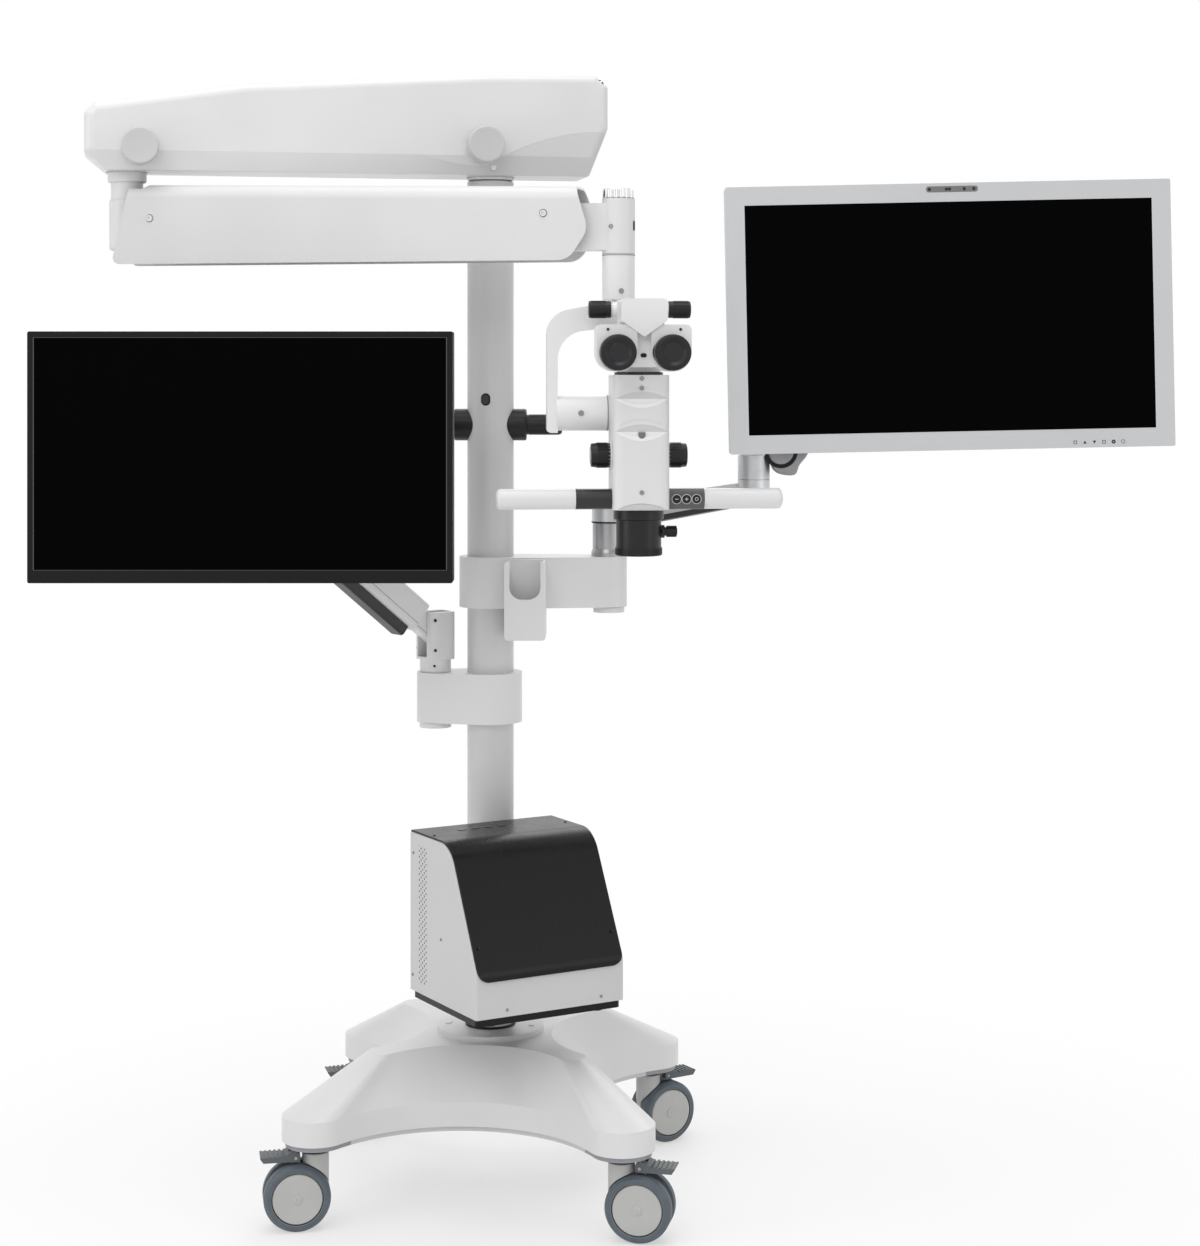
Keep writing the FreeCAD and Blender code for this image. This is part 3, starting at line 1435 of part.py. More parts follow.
def yoke():
    """Suspension tube, curved arm down the left side and the tilt housing."""
    floor = s.yoke_tube_floor
    out = -s.yoke_reach
    inner = out + s.yoke_thick
    low = s.tilt_high - s.tilt_round - 3
    piece = Piece("yoke")
    piece.pad("XY_Plane", [Disc(0, 0, s.yoke_tube_round)], floor, s.head_floor - s.turn_gap - floor)
    piece.pad("XY_Plane", [Disc(0, 0, elbow_pin_round)], s.head_floor - s.turn_gap - 2, s.yoke_pin_long + 2)
    arm = [
        (0, floor + 2),
        (-s.yoke_tube_round, floor - 5, 30),
        (out, floor - 20, 38),
        (out, low, 6),
        (inner, low),
        (inner, floor - 50, 42),
        (-s.yoke_tube_round, floor - 42, 30),
        (s.yoke_tube_round * 0.7, floor - 36, 12),
        (s.yoke_tube_round * 0.9, floor + 2),
    ]
    piece.pad("XZ_Plane", [arm], 0, s.yoke_deep, True)
    housing = body_left - s.tilt_disc_thick - s.turn_gap
    piece.pad("YZ_Plane", [Disc(0, s.tilt_high, s.tilt_round)], inner - 2, housing - inner + 2)
    bore = Disc(0, s.tilt_high, s.pin_round + s.pivot_gap)
    piece.cut("YZ_Plane", [bore], housing - s.pin_deep - s.turn_gap, s.pin_deep + s.turn_gap)
    in_head(piece)


def microscope_body():
    """Main body with the lens-shaped hollows across its front and the tilt disc on its left."""
    piece = Piece("microscope_body")
    piece.pad(
        "XY_Plane",
        [box_loop(body_left, -s.body_front, body_right, s.body_back, 14)],
        s.body_floor,
        s.body_top - s.body_floor,
    )
    half = s.body_wide / 2 - 1
    for high, rise, drop in ((1243.5, 12.5, 12.5), (1196.5, 12.5, 12.5), (s.body_floor + 0.6, 9, 0)):
        piece.cut("XZ_Plane", [Lens(middle_x, high, half, rise, drop)], s.body_front - 1.6, 5)
    tilt_disc = Disc(0, s.tilt_high, s.tilt_round)
    piece.pad("YZ_Plane", [tilt_disc], body_left - s.tilt_disc_thick, s.tilt_disc_thick + 2)
    pin_start = body_left - s.tilt_disc_thick - s.pin_deep
    piece.pad("YZ_Plane", [Disc(0, s.tilt_high, s.pin_round)], pin_start, s.pin_deep + 1)
    shaft = Disc(middle_y, s.zoom_high, s.zoom_shaft_round + s.pivot_gap)
    piece.cut("YZ_Plane", [shaft], body_left - 5, s.body_wide + 10)
    in_head(piece)


def objective():
    """Objective housing: mounting ring, barrel, gripped front ring and the open mouth."""
    top = s.body_floor
    barrel = s.objective_round
    mouth = s.mouth_round
    piece = Piece("objective_barrel")
    low = top - 68
    profile = [
        (0, top),
        (barrel + 3.5, top),
        (barrel + 3.5, top - 15, 1),
        (barrel, top - 16),
        (barrel, low + 12),
        (barrel + 1, low + 12),
        (barrel + 1, low + 1),
        (barrel, low),
        (mouth, low),
        (mouth, low + s.mouth_deep),
        (0, low + s.mouth_deep),
    ]
    piece.turn([profile])
    piece.cut("YZ_Plane", [Disc(0, s.focus_high, s.focus_pin_round + s.pivot_gap)], barrel - 14, 20)
    piece.place(
        head_x + middle_x * cosine(s.head_yaw) - middle_y * sine(s.head_yaw),
        head_y + middle_x * sine(s.head_yaw) + middle_y * cosine(s.head_yaw),
        0,
        s.head_yaw,
    )


def side_knob(label, x, y, z, profile, back=False):
    """Turned knob whose axis points to the right, or to the left when back is set."""
    piece = Piece(label)
    piece.turn([profile])
    piece.place(
        head_x + x * cosine(s.head_yaw) - y * sine(s.head_yaw),
        head_y + x * sine(s.head_yaw) + y * cosine(s.head_yaw),
        z,
        s.head_yaw,
        -90 if back else 90,
    )
    return piece


def focus_knob():
    grip = s.focus_round
    profile = [
        (0, -12),
        (s.focus_pin_round, -12),
        (s.focus_pin_round, 0),
        (grip + 1.5, 0),
        (grip + 1.5, 4),
        (grip - 1.5, 4),
        (grip - 1.5, 7),
        (grip, 7),
        (grip, 22, 1),
        (0, 22),
    ]
    side_knob("focus_knob", middle_x + s.objective_round + s.turn_gap, middle_y, s.focus_high, profile)


def zoom_knobs():
    """Both magnification knobs on one shaft through the body."""
    near = s.body_wide / 2 + s.turn_gap
    far = near + s.zoom_long
    side = [
        (0, far),
        (s.zoom_round - 1, far, 2),
        (s.zoom_round, far - 9),
        (s.zoom_round, near),
        (s.zoom_shaft_round, near),
    ]
    mirrored = [(corner[0], -as_size(corner[1])) + tuple(corner[2:]) for corner in reversed(side)]
    side_knob("zoom_knobs", middle_x, middle_y, s.zoom_high, side + mirrored)


def handle():
    """Grips either side of the body: dark sleeve on the left, dark button pod on the right."""
    y = s.handle_front
    grip = s.handle_round
    sleeve = s.handle_sleeve
    piece = Piece("handle")
    for start, length in (
        (body_left - sleeve, sleeve),
        (body_left - sleeve - s.handle_long, s.handle_long),
        (body_right + sleeve, s.handle_long),
    ):
        piece.pad("YZ_Plane", [Disc(-y, s.handle_high, grip)], start, length)
    pod = box_loop(-y - grip, s.handle_high - grip, -y + grip, s.handle_high + grip, 7)
    piece.pad("YZ_Plane", [pod], body_right, sleeve)
    far = body_right + sleeve + s.handle_long
    near = body_left - sleeve - s.handle_long
    ends = (near.number, far.number)

    def end_edge(edge):
        box = edge.BoundBox
        return any(abs(box.XMin - x) < 0.01 and abs(box.XMax - x) < 0.01 for x in ends)

    piece.round_edges(6, end_edge)
    first = body_right + sleeve / 2 - s.button_gap
    for i in range(3):
        bore = Disc(first + s.button_gap * i, s.handle_high, s.button_round + 0.2)
        piece.cut("XZ_Plane", [bore], y + grip - s.button_deep, s.button_deep)
    in_head(piece)


def button(i):
    """Push button in the pod, one millimetre proud."""
    first = body_right + s.handle_sleeve / 2 - s.button_gap
    face = s.handle_front + s.handle_round
    piece = Piece(f"button_{i + 1}")
    disc = Disc(first + s.button_gap * i, s.handle_high, s.button_round)
    inner = face - s.button_deep + s.button_travel + 0.3
    piece.pad("XZ_Plane", [disc], inner, face + 1.2 - inner)
    in_head(piece)


def binocular_base():
    """Dovetail ring, foot and neck that carry the tilting binocular tube."""
    y = middle_y
    top = s.body_top
    barrel_y = s.binocular_axis_front
    high = s.binocular_axis_high
    piece = Piece("binocular_base")
    piece.pad("XY_Plane", [Disc(middle_x, y, 35.5)], top, 4)
    piece.pad("XY_Plane", [Disc(middle_x, y, 32)], top + 4, 14)
    neck = s.neck_wide / 2
    upright = [
        (-barrel_y - 9, top + 10),
        (-barrel_y + 14, top + 10),
        (-barrel_y + 9, high),
        (-barrel_y - 9, high),
    ]
    piece.pad("YZ_Plane", [upright], middle_x - neck, neck * 2)
    piece.pad("YZ_Plane", [Disc(-barrel_y, high, 10)], middle_x - neck, neck * 2)
    bore = Disc(-barrel_y, high, s.binocular_pin_round + s.pivot_gap)
    piece.cut("YZ_Plane", [bore], middle_x - neck - 5, neck * 2 + 10)
    in_head(piece)


def binocular_body():
    """Twin-lobed tube with the pointed shield, tilting on a pin through the neck."""
    eye = s.eye_pair_wide / 2
    lobe = s.lobe_half
    back = s.lobe_back
    front = s.lobe_front
    high = s.binocular_axis_high
    piece = Piece("binocular_body")
    low = s.eye_high - s.lobe_low
    top = s.eye_high + s.lobe_tall
    for x in (middle_x - eye, middle_x + eye):
        outline = [
            (x - lobe, low, s.lobe_low),
            (x + lobe, low, s.lobe_low),
            (x + lobe, top, 8),
            (x - lobe, top, 8),
        ]
        piece.pad("XZ_Plane", [outline], back, front - back)
    bridge = box_loop(middle_x - eye, low + 6, middle_x + eye, s.eye_high + 30)
    piece.pad("XZ_Plane", [bridge], back, front - back - 12)
    shield_half = s.shield_wide / 2
    shield = [
        (middle_x - shield_half, high - 17, 4),
        (middle_x, s.eye_high + s.shield_point, 5),
        (middle_x + shield_half, high - 17, 4),
        (middle_x + shield_half, high + 14, 6),
        (middle_x - shield_half, high + 14, 6),
    ]
    piece.pad("XZ_Plane", [shield], back, front - back + 3)
    inner = s.neck_wide / 2 + s.turn_gap
    cheek = [
        (-back - 8, s.eye_high + 16),
        (-back - 8, high + 13),
        (-s.binocular_axis_front + 8, high + 13, 8),
        (-s.binocular_axis_front + 11, high - 8, 8),
        (-back + 2, s.eye_high + 16),
    ]
    for start in (middle_x - shield_half, middle_x + inner):
        piece.pad("YZ_Plane", [cheek], start, shield_half - inner)
    collar = Disc(-s.binocular_axis_front, high, s.pd_round - 1.5)
    for start in (middle_x - shield_half - s.pd_collar, middle_x + shield_half):
        piece.pad("YZ_Plane", [collar], start, s.pd_collar)
    bore = Disc(-s.binocular_axis_front, high, s.binocular_pin_round + s.pivot_gap)
    reach = shield_half + s.pd_collar + 1
    piece.cut("YZ_Plane", [bore], middle_x - reach, reach * 2)
    slide = s.eye_slide
    tube = s.eye_tube_round + 0.3
    for side in (-1, 1):
        outer = middle_x + eye * side + tube * side
        inner_end = middle_x + eye * side - (tube + slide) * side
        left, right = (inner_end, outer) if side > 0 else (outer, inner_end)
        slot = box_loop(left, s.eye_high - tube, right, s.eye_high + tube, tube * 0.995)
        piece.cut("XZ_Plane", [slot], front - s.eye_tube_long - 1, s.eye_tube_long + 2)
    in_head(piece)


def pupil_knobs():
    """Both knobs of the binocular on the shaft that it also tilts on."""
    near = s.shield_wide / 2 + s.pd_collar + s.turn_gap
    far = near + s.pd_long
    side = [
        (0, far),
        (s.pd_round, far, 1.5),
        (s.pd_round, near),
        (s.binocular_pin_round, near),
    ]
    mirrored = [(corner[0], -as_size(corner[1])) + tuple(corner[2:]) for corner in reversed(side)]
    side_knob("pupil_knobs", middle_x, -s.binocular_axis_front, s.binocular_axis_high, side + mirrored)


def eyepiece(label, side):
    """Eyepiece: tube in the lobe's slot, broad ring and hollow eyecup."""
    ring = s.eye_round
    tube = s.eye_tube_round
    long = s.eye_ring_long
    profile = [
        (0, -s.eye_tube_long + 1),
        (tube, -s.eye_tube_long + 1),
        (tube, 0),
        (ring - 2, 0),
        (ring, 2),
        (ring, long - 4, 1),
        (ring - 3, long, 2),
        (ring - 7, long, 2),
        (ring - 12, long - 3.6),
        (0, long - 3.6),
    ]
    piece = Piece(label)
    piece.turn([profile])
    x = middle_x + s.eye_pair_wide / 2 * side
    y = -s.lobe_front - 0.3
    piece.place(
        head_x + x * cosine(s.head_yaw) - y * sine(s.head_yaw),
        head_y + x * sine(s.head_yaw) + y * cosine(s.head_yaw),
        s.eye_high,
        s.head_yaw,
        0,
        90,
    )


for build in (
    base_cover,
    base_casting,
    column_tube,
    push_handle,
    lower_bracket,
    upper_bracket,
    accessory_holder,
    docking_station,
    left_swivel,
    left_beam,
    right_post,
    right_beam,
    right_elbow,
    right_link,
    top_arm,
    elbow_block,
    spring_cover,
    head_block,
    head_knob,
    yoke,
    microscope_body,
    objective,
    focus_knob,
    zoom_knobs,
    handle,
    binocular_base,
    binocular_body,
    pupil_knobs,
):
    build()
for name, arm, heading in (
    ("back_right", 0, 32),
    ("back_left", 1, 195),
    ("front_left", 2, 190),
    ("front_right", 3, -12),
):
    caster(name, arm, heading)
wrist("left_wrist", left_wrist_x, left_wrist_y, left_wrist_z, s.left_arm_yaw)
wrist("right_wrist", right_wrist_x, right_wrist_y, right_wrist_z, s.right_link_yaw)
mount_up = s.tongue_round + 5 + s.turn_gap
tilt_up = mount_up + s.sleeve_tall / 2
for name, x, y, z in (
    ("left", left_wrist_x, left_wrist_y, left_wrist_z),
    ("right", right_wrist_x, right_wrist_y, right_wrist_z),
):
    monitor_mount(f"{name}_mount", x, y, z + mount_up)
monitor(
    "left",
    s.left_screen_wide,
    s.left_screen_tall,
    s.left_screen_thick,
    s.left_rim,
    s.left_chin,
    left_wrist_x,
    left_wrist_y - s.tilt_reach,
    left_wrist_z + tilt_up,
    s.left_drop,
    0,
)
monitor(
    "right",
    s.right_screen_wide,
    s.right_screen_tall,
    s.right_screen_thick,
    s.right_rim,
    s.right_rim,
    right_wrist_x,
    right_wrist_y - s.tilt_reach,
    right_wrist_z + tilt_up,
    s.right_drop,
    s.right_roll,
)
lock_knob("column_lock_knob", s.column_knob_along, s.column_knob_high)
lock_knob("elbow_lock_knob", elbow_knob_along, s.elbow_knob_high)
link("upper_link", s.link_high, upper_link_outer, 6)
link("lower_link", link_low, lower_link_outer, -8)
for i in range(3):
    button(i)
eyepiece("eyepiece_left", -1)
eyepiece("eyepiece_right", 1)
doc.recompute()


def check_document():
    """Stop when a feature failed or a sub-part has no sound solid."""
    for thing in doc.Objects:
        if "Invalid" in thing.State or "Error" in thing.State:
            raise RuntimeError(f"{thing.Label}: {thing.State}")
    for body in pieces:
        if body.Shape.isNull() or not body.Shape.isValid() or not body.Shape.Solids:
            raise RuntimeError(f"{body.Label}: no sound solid")


check_document()
for body in pieces:
    body.Shape.exportStep(f"parts/{body.Label}.step")
    box = body.Shape.BoundBox
    print(
        body.Label,
        len(body.Shape.Solids),
        round(body.Shape.Volume / 1000),
        [round(v) for v in (box.XMin, box.XMax, box.YMin, box.YMax, box.ZMin, box.ZMax)],
    )
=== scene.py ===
"""Surgical microscope on a floor stand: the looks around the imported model."""

import math

import bmesh
import bpy
from mathutils import Matrix, Vector


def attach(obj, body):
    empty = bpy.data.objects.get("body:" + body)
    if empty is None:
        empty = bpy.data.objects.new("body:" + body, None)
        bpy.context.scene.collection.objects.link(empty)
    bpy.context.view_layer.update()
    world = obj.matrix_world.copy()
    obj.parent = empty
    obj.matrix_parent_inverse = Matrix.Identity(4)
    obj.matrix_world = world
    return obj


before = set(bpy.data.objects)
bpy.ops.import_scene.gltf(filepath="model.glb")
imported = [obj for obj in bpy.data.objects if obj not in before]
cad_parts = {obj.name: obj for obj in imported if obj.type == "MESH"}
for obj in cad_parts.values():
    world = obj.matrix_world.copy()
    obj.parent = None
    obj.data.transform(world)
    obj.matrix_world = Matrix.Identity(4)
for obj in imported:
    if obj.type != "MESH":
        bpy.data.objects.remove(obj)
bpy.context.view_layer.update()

# The studio: a pale floor that fades into a white room, a wide soft lamp overhead, one above the front,
# a weak fill on each side and one over the back. The camera stands level with the microscope's head.
EYE = Vector((-0.0035, -3.856, 1.280))
LENS_MM = 71.65
VIEW_SHIFT = -0.203

camera = bpy.data.objects.new("camera", bpy.data.cameras.new("camera"))
camera.location = EYE
camera.rotation_euler = (math.radians(90), 0, 0)
camera.data.sensor_width = 36
camera.data.lens = LENS_MM
camera.data.shift_y = VIEW_SHIFT
camera.data.clip_end = 60
bpy.context.scene.collection.objects.link(camera)
bpy.context.scene.camera = camera
bpy.context.scene.view_settings.view_transform = "Standard"


def lamp(name, place, target, size, watts):
    light = bpy.data.objects.new(name, bpy.data.lights.new(name, "AREA"))
    light.data.shape = "RECTANGLE"
    light.data.size, light.data.size_y = size
    light.data.energy = watts
    light.location = place
    light.rotation_euler = (Vector(target) - Vector(place)).to_track_quat("-Z", "Y").to_euler()
    light.visible_camera = False
    bpy.context.scene.collection.objects.link(light)


lamp("lamp_top", (-0.3, -0.6, 4.6), (0, 0, 0.6), (3.0, 2.4), 56)
lamp("lamp_front", (-1.1, -3.2, 3.4), (0, 0, 0.9), (2.6, 1.8), 30)
lamp("lamp_fill", (3.2, -2.2, 1.6), (0, 0, 0.9), (1.6, 2.2), 10)
lamp("lamp_left", (-3.2, -1.6, 1.5), (0, 0, 0.9), (1.2, 2.2), 14)
lamp("lamp_back", (0.6, 2.8, 3.0), (0, 0, 1.0), (2.4, 1.6), 24)


class Shade:
    """A value in a node tree. Sums, differences and products of shades add Math nodes."""

    def __init__(self, tree, socket=None):
        self.tree = tree
        self.socket = socket

    def node(self, kind, settings, sockets, output=0):
        made = self.tree.nodes.new(kind)
        for name, setting in settings.items():
            setattr(made, name, setting)
        for name, value in sockets.items():
            if isinstance(value, Shade):
                self.tree.links.new(value.socket, made.inputs[name])
            elif value is not None:
                made.inputs[name].default_value = value
        return Shade(self.tree, made.outputs[output])

    def maths(self, operation, *values):
        return self.node("ShaderNodeMath", {"operation": operation}, dict(enumerate(values)))

    def __add__(self, other):
        return self.maths("ADD", self, other)

    def __sub__(self, other):
        return self.maths("SUBTRACT", self, other)

    def __rsub__(self, other):
        return self.maths("SUBTRACT", other, self)

    def __mul__(self, other):
        return self.maths("MULTIPLY", self, other)

    def __gt__(self, other):
        return self.maths("GREATER_THAN", self, other)

    def __lt__(self, other):
        return self.maths("LESS_THAN", self, other)

    __radd__ = __add__
    __rmul__ = __mul__

    def between(self, low, high):
        """0 below low, 1 above high, smooth in between."""
        settings = {"interpolation_type": "SMOOTHSTEP"}
        return self.node("ShaderNodeMapRange", settings, {"Value": self, "From Min": low, "From Max": high})

    def blend(self, first, second):
        """A colour: first where this shade is 0, second where it is 1."""
        colours = [(*c, 1) if isinstance(c, tuple) else c for c in (first, second)]
        sockets = {0: self, 6: colours[0], 7: colours[1]}
        return self.node("ShaderNodeMix", {"data_type": "RGBA"}, sockets, 2)

    def place(self):
        return self.node("ShaderNodeTexCoord", {}, {}, 3)

    def local(self, where):
        """The x, y and z of this place in a frame, in millimetres."""
        back = where.inverted()
        parts = []
        for axis in range(3):
            row = tuple(back[axis][:3])
            dot = self.node("ShaderNodeVectorMath", {"operation": "DOT_PRODUCT"}, {0: self, 1: row}, 1)
            parts.append(dot * 1000.0 + back[axis][3] * 1000.0)
        return parts

    def noise(self, scale, detail=2.0, rough=0.5):
        """A cloudy pattern over this place, scale lumps to the metre."""
        sockets = {"Vector": self, "Scale": scale, "Detail": detail, "Roughness": rough}
        return self.node("ShaderNodeTexNoise", {}, sockets)

    def bump(self, depth, under=None):
        """A normal raised by this shade, depth metres high."""
        return self.node("ShaderNodeBump", {}, {"Height": self, "Distance": depth, "Normal": under})


def surface(name):
    """A new material: the material, its main shader node and a shade to start patterns from."""
    material = bpy.data.materials.new(name)
    material.use_nodes = True
    shader = material.node_tree.nodes["Principled BSDF"]
    return material, shader, Shade(material.node_tree)


def wire(shader, **values):
    """Sets the shader's sockets, named with underlines for spaces, from numbers, colours or shades."""
    for name, value in values.items():
        socket = shader.inputs[name.replace("_", " ")]
        if isinstance(value, Shade):
            value.tree.links.new(value.socket, socket)
        else:
            socket.default_value = (*value, 1) if isinstance(value, tuple) else value


FLOOR_HALF = 12.0
FLOOR_COLOUR = (0.90, 0.90, 0.90)
ROOM_NEAR = 0.4
ROOM_FAR = 1.5
ROOM_GLOW = 0.62

floor_mesh = bpy.data.meshes.new("floor")
corners = [(x * FLOOR_HALF, y * FLOOR_HALF, 0) for x, y in ((-1, -1), (1, -1), (1, 1), (-1, 1))]
floor_mesh.from_pydata(corners, [], [(0, 1, 2, 3)])
floor = bpy.data.objects.new("floor", floor_mesh)
bpy.context.scene.collection.objects.link(floor)
floor_finish, shader, start = surface("floor_finish")
wire(shader, Base_Color=FLOOR_COLOUR, Roughness=0.7)
away = start.node("ShaderNodeVectorMath", {"operation": "LENGTH"}, {0: start.place()}, 1)
glow = start.node("ShaderNodeEmission", {}, {"Color": (1, 1, 1, 1), "Strength": 1.0})
seen = start.node("ShaderNodeLightPath", {}, {}, 0) + start.node("ShaderNodeLightPath", {}, {}, 3)
fade = (away.between(ROOM_NEAR, ROOM_FAR) * 0.5 + 0.5) * seen
lit = Shade(floor_finish.node_tree, shader.outputs[0])
mixed = start.node("ShaderNodeMixShader", {}, {0: fade, 1: lit, 2: glow})
floor_finish.node_tree.links.new(mixed.socket, floor_finish.node_tree.nodes["Material Output"].inputs[0])
floor_mesh.materials.append(floor_finish)

world = bpy.data.worlds.new("room")
world.use_nodes = True
bpy.context.scene.world = world
room = Shade(world.node_tree)
seen = [room.node("ShaderNodeLightPath", {}, {}, output) for output in (0, 3, 6)]
shown = seen[0] + seen[1] + seen[2]
wire(world.node_tree.nodes["Background"], Color=(1.0, 1.0, 1.0), Strength=shown * (1 - ROOM_GLOW) + ROOM_GLOW)

# Base: a four-armed iron casting with a socket for the column and a collar for each caster, under one
# moulded white cover. The casting is zinc-sprayed, the cover has a fine orange-peel skin. Dark rings
# close the caster collars, and soft plugs close the four screw pockets of the cover's hub.
COLUMN_X = -0.176163
COLUMN_Y = 0.054968
WHITE = (0.735, 0.735, 0.735)
BLACK = (0.006, 0.006, 0.0065)
FRONT = Matrix.Rotation(math.radians(90), 4, "X")
BACK = Matrix.Rotation(math.radians(-90), 4, "X")
RIGHT = Matrix.Rotation(math.radians(90), 4, "Y")


def frame_at(x, y, z, yaw=0.0, pitch=0.0):
    """A frame at a point in metres, turned about Z and then about its own Y, in degrees."""
    turn = Matrix.Rotation(math.radians(yaw), 4, "Z") @ Matrix.Rotation(math.radians(pitch), 4, "Y")
    return Matrix.Translation((x, y, z)) @ turn


def spot(x, y, z, turn=Matrix()):
    """A point of a frame in millimetres, with the way its Z axis is turned."""
    return Matrix.Translation((x, y, z)) @ turn


def dress(material, *nodes):
    """Gives CAD nodes their finish."""
    for node in nodes:
        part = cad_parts[node]
        if not part.material_slots:
            part.data.materials.append(None)
        for part_slot in part.material_slots:
            part_slot.material = material


def paint(name, colour, rough=0.35, grain=0.00006, grain_scale=700.0, shine=0.5, masks=None):
    """Sprayed or moulded skin: a faint drift of tone, an orange-peel grain and small changes of gloss.

    masks(place) gives pairs of a shade and the colour that the skin has where the shade is 1."""
    material, shader, start = surface(name)
    place = start.place()
    skin = place.noise(6.0, 3.0).between(0.3, 0.7).blend(tuple(c * 0.965 for c in colour), colour)
    peel = place.noise(grain_scale, 2.0)
    smear = place.noise(24.0, 5.0, 0.6)
    normal = peel.bump(grain)
    for mask, tone in masks(place) if masks else ():
        skin = mask.blend(skin, tone)
        normal = (1 - mask).bump(0.0003, normal)
    wire(
        shader,
        Base_Color=skin,
        Roughness=smear.between(0.25, 0.8) * (rough * 0.25) + rough * 0.88,
        Normal=normal,
        Specular_IOR_Level=shine,
    )
    return material


def metal(name, colour, rough=0.2, grain=0.00002, grain_scale=300.0):
    """Bare or plated metal: cast grain and finger-dulled patches."""
    material, shader, start = surface(name)
    place = start.place()
    smear = place.noise(30.0, 5.0, 0.65)
    wire(
        shader,
        Base_Color=smear.between(0.3, 0.75).blend(colour, tuple(c * 0.9 for c in colour)),
        Metallic=1.0,
        Roughness=smear.between(0.3, 0.8) * 0.12 + rough,
        Normal=place.noise(grain_scale, 3.0).bump(grain),
    )
    return material


def settle(name, mesh, body, material, sharp=35):
    """Puts a finished mesh in the scene as a piece that rides on a body."""
    if not mesh.materials:
        mesh.materials.append(material)
    mesh.polygons.foreach_set("use_smooth", [True] * len(mesh.polygons))
    mesh.set_sharp_from_angle(angle=math.radians(sharp))
    made = bpy.data.objects.new(name, mesh)
    bpy.context.scene.collection.objects.link(made)
    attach(made, body)
    return made


class Shape:
    """A mesh drawn in millimetres in a frame of its own."""

    def __init__(self):
        self.mesh = bmesh.new()

    def skin(self, rings, closed=False):
        """Faces between rings of one count of corners; a ring of one corner makes a point."""
        pairs = list(zip(rings, rings[1:]))
        if closed:
            pairs.append((rings[-1], rings[0]))
        count = max(len(ring) for ring in rings)
        for first, second in pairs:
            for i in range(count):
                j = (i + 1) % count
                corners = [first[i % len(first)], first[j % len(first)]]
                corners += [second[j % len(second)], second[i % len(second)]]
                corners = list(dict.fromkeys(corners))
                if len(corners) > 2:
                    self.mesh.faces.new(corners)

    def lathe(self, profile, at=Matrix(), steps=48, closed=False):
        """Turns (radius, height) points about the Z axis."""
        rings = []
        for radius, height in profile:
            count = steps if radius else 1
            ring = []
            for i in range(count):
                angle = 2 * math.pi * i / steps
                corner = Vector((radius * math.cos(angle), radius * math.sin(angle), height))
                ring.append(self.mesh.verts.new(at @ corner))
            rings.append(ring)
        self.skin(rings, closed)
        return self

    def block(self, wide, deep, tall, corner, at=Matrix(), edge=0.0, steps=6):
        """A rounded rectangle raised along Z, its rims bevelled by edge."""
        rings = []
        levels = ((0, edge), (edge, 0), (tall - edge, 0), (tall, edge)) if edge else ((0, 0), (tall, 0))
        for height, inset in levels:
            radius = max(corner - inset, 0.01)
            half_wide = wide / 2 - inset - radius
            half_deep = deep / 2 - inset - radius
            ring = []
            for quarter, (x, y) in enumerate(((1, 1), (-1, 1), (-1, -1), (1, -1))):
                for i in range(steps + 1):
                    angle = math.pi / 2 * (quarter + i / steps)
                    across = x * half_wide + radius * math.cos(angle)
                    along = y * half_deep + radius * math.sin(angle)
                    ring.append(self.mesh.verts.new(at @ Vector((across, along, height))))
            rings.append(ring)
        self.skin(rings)
        self.mesh.faces.new(rings[0])
        self.mesh.faces.new(rings[-1])
        return self

    def piece(self, name, body, slot, material, where, sharp=35):
        bmesh.ops.recalc_face_normals(self.mesh, faces=self.mesh.faces[:])
        data = bpy.data.meshes.new(name)
        self.mesh.to_mesh(data)
        self.mesh.free()
        data.transform(where @ Matrix.Scale(0.001, 4))
        return settle(name, data, body, material, sharp)


white_shell = paint("white_shell", WHITE, 0.32, 0.00003, 500.0)
soft_black = paint("soft_black", BLACK, 0.5, 0.00005, 900.0, 0.3)
dress(white_shell, "base_cover")

STAND = frame_at(COLUMN_X, COLUMN_Y, 0)
BARE_FROM = 290.0


def arm_ends(place):
    """Bare zinc only round the casters; the rest of the casting is sprayed like the cover."""
    x, y, z = place.local(STAND)
    return [(x * x + y * y > BARE_FROM * BARE_FROM, (0.30, 0.31, 0.33))]


casting_white = paint("casting_white", (0.62, 0.62, 0.62), 0.42, 0.00006, 700.0, 0.5, arm_ends)
dress(casting_white, "base_casting")

CASTER_CIRCLE = 325.0
ARM_TURN = 39.0
HUB_TOP = 250.0
collars = Shape()
for arm in range(4):
    angle = math.radians(ARM_TURN + 90 * arm)
    here = spot(CASTER_CIRCLE * math.cos(angle), CASTER_CIRCLE * math.sin(angle), 0)
    ring = [(21.1, 115), (23.4, 115), (24.2, 116), (24.2, 122.5), (23.4, 123.8), (21.1, 123.8)]
    collars.lathe(ring, here, 40, closed=True)
collars.piece("caster_collars", "stand", "black_plastic", soft_black, STAND)

plugs = Shape()
for arm in range(4):
    angle = math.radians(ARM_TURN + 90 * arm + 45)
    here = spot(66 * math.cos(angle), 66 * math.sin(angle), HUB_TOP, Matrix.Rotation(angle, 4, "Z"))
    plugs.block(9, 20, 1.2, 4, here, 0.5)
plugs.piece("hub_plugs", "stand", "cover_white", white_shell, STAND)

foot_ring = [(36.6, 249), (39.5, 249), (39.5, 252), (38.6, 253.2), (36.6, 253.2)]
gasket = Shape().lathe(foot_ring, Matrix(), 64, closed=True)
gasket.piece("column_gasket", "stand", "black_plastic", soft_black, STAND)

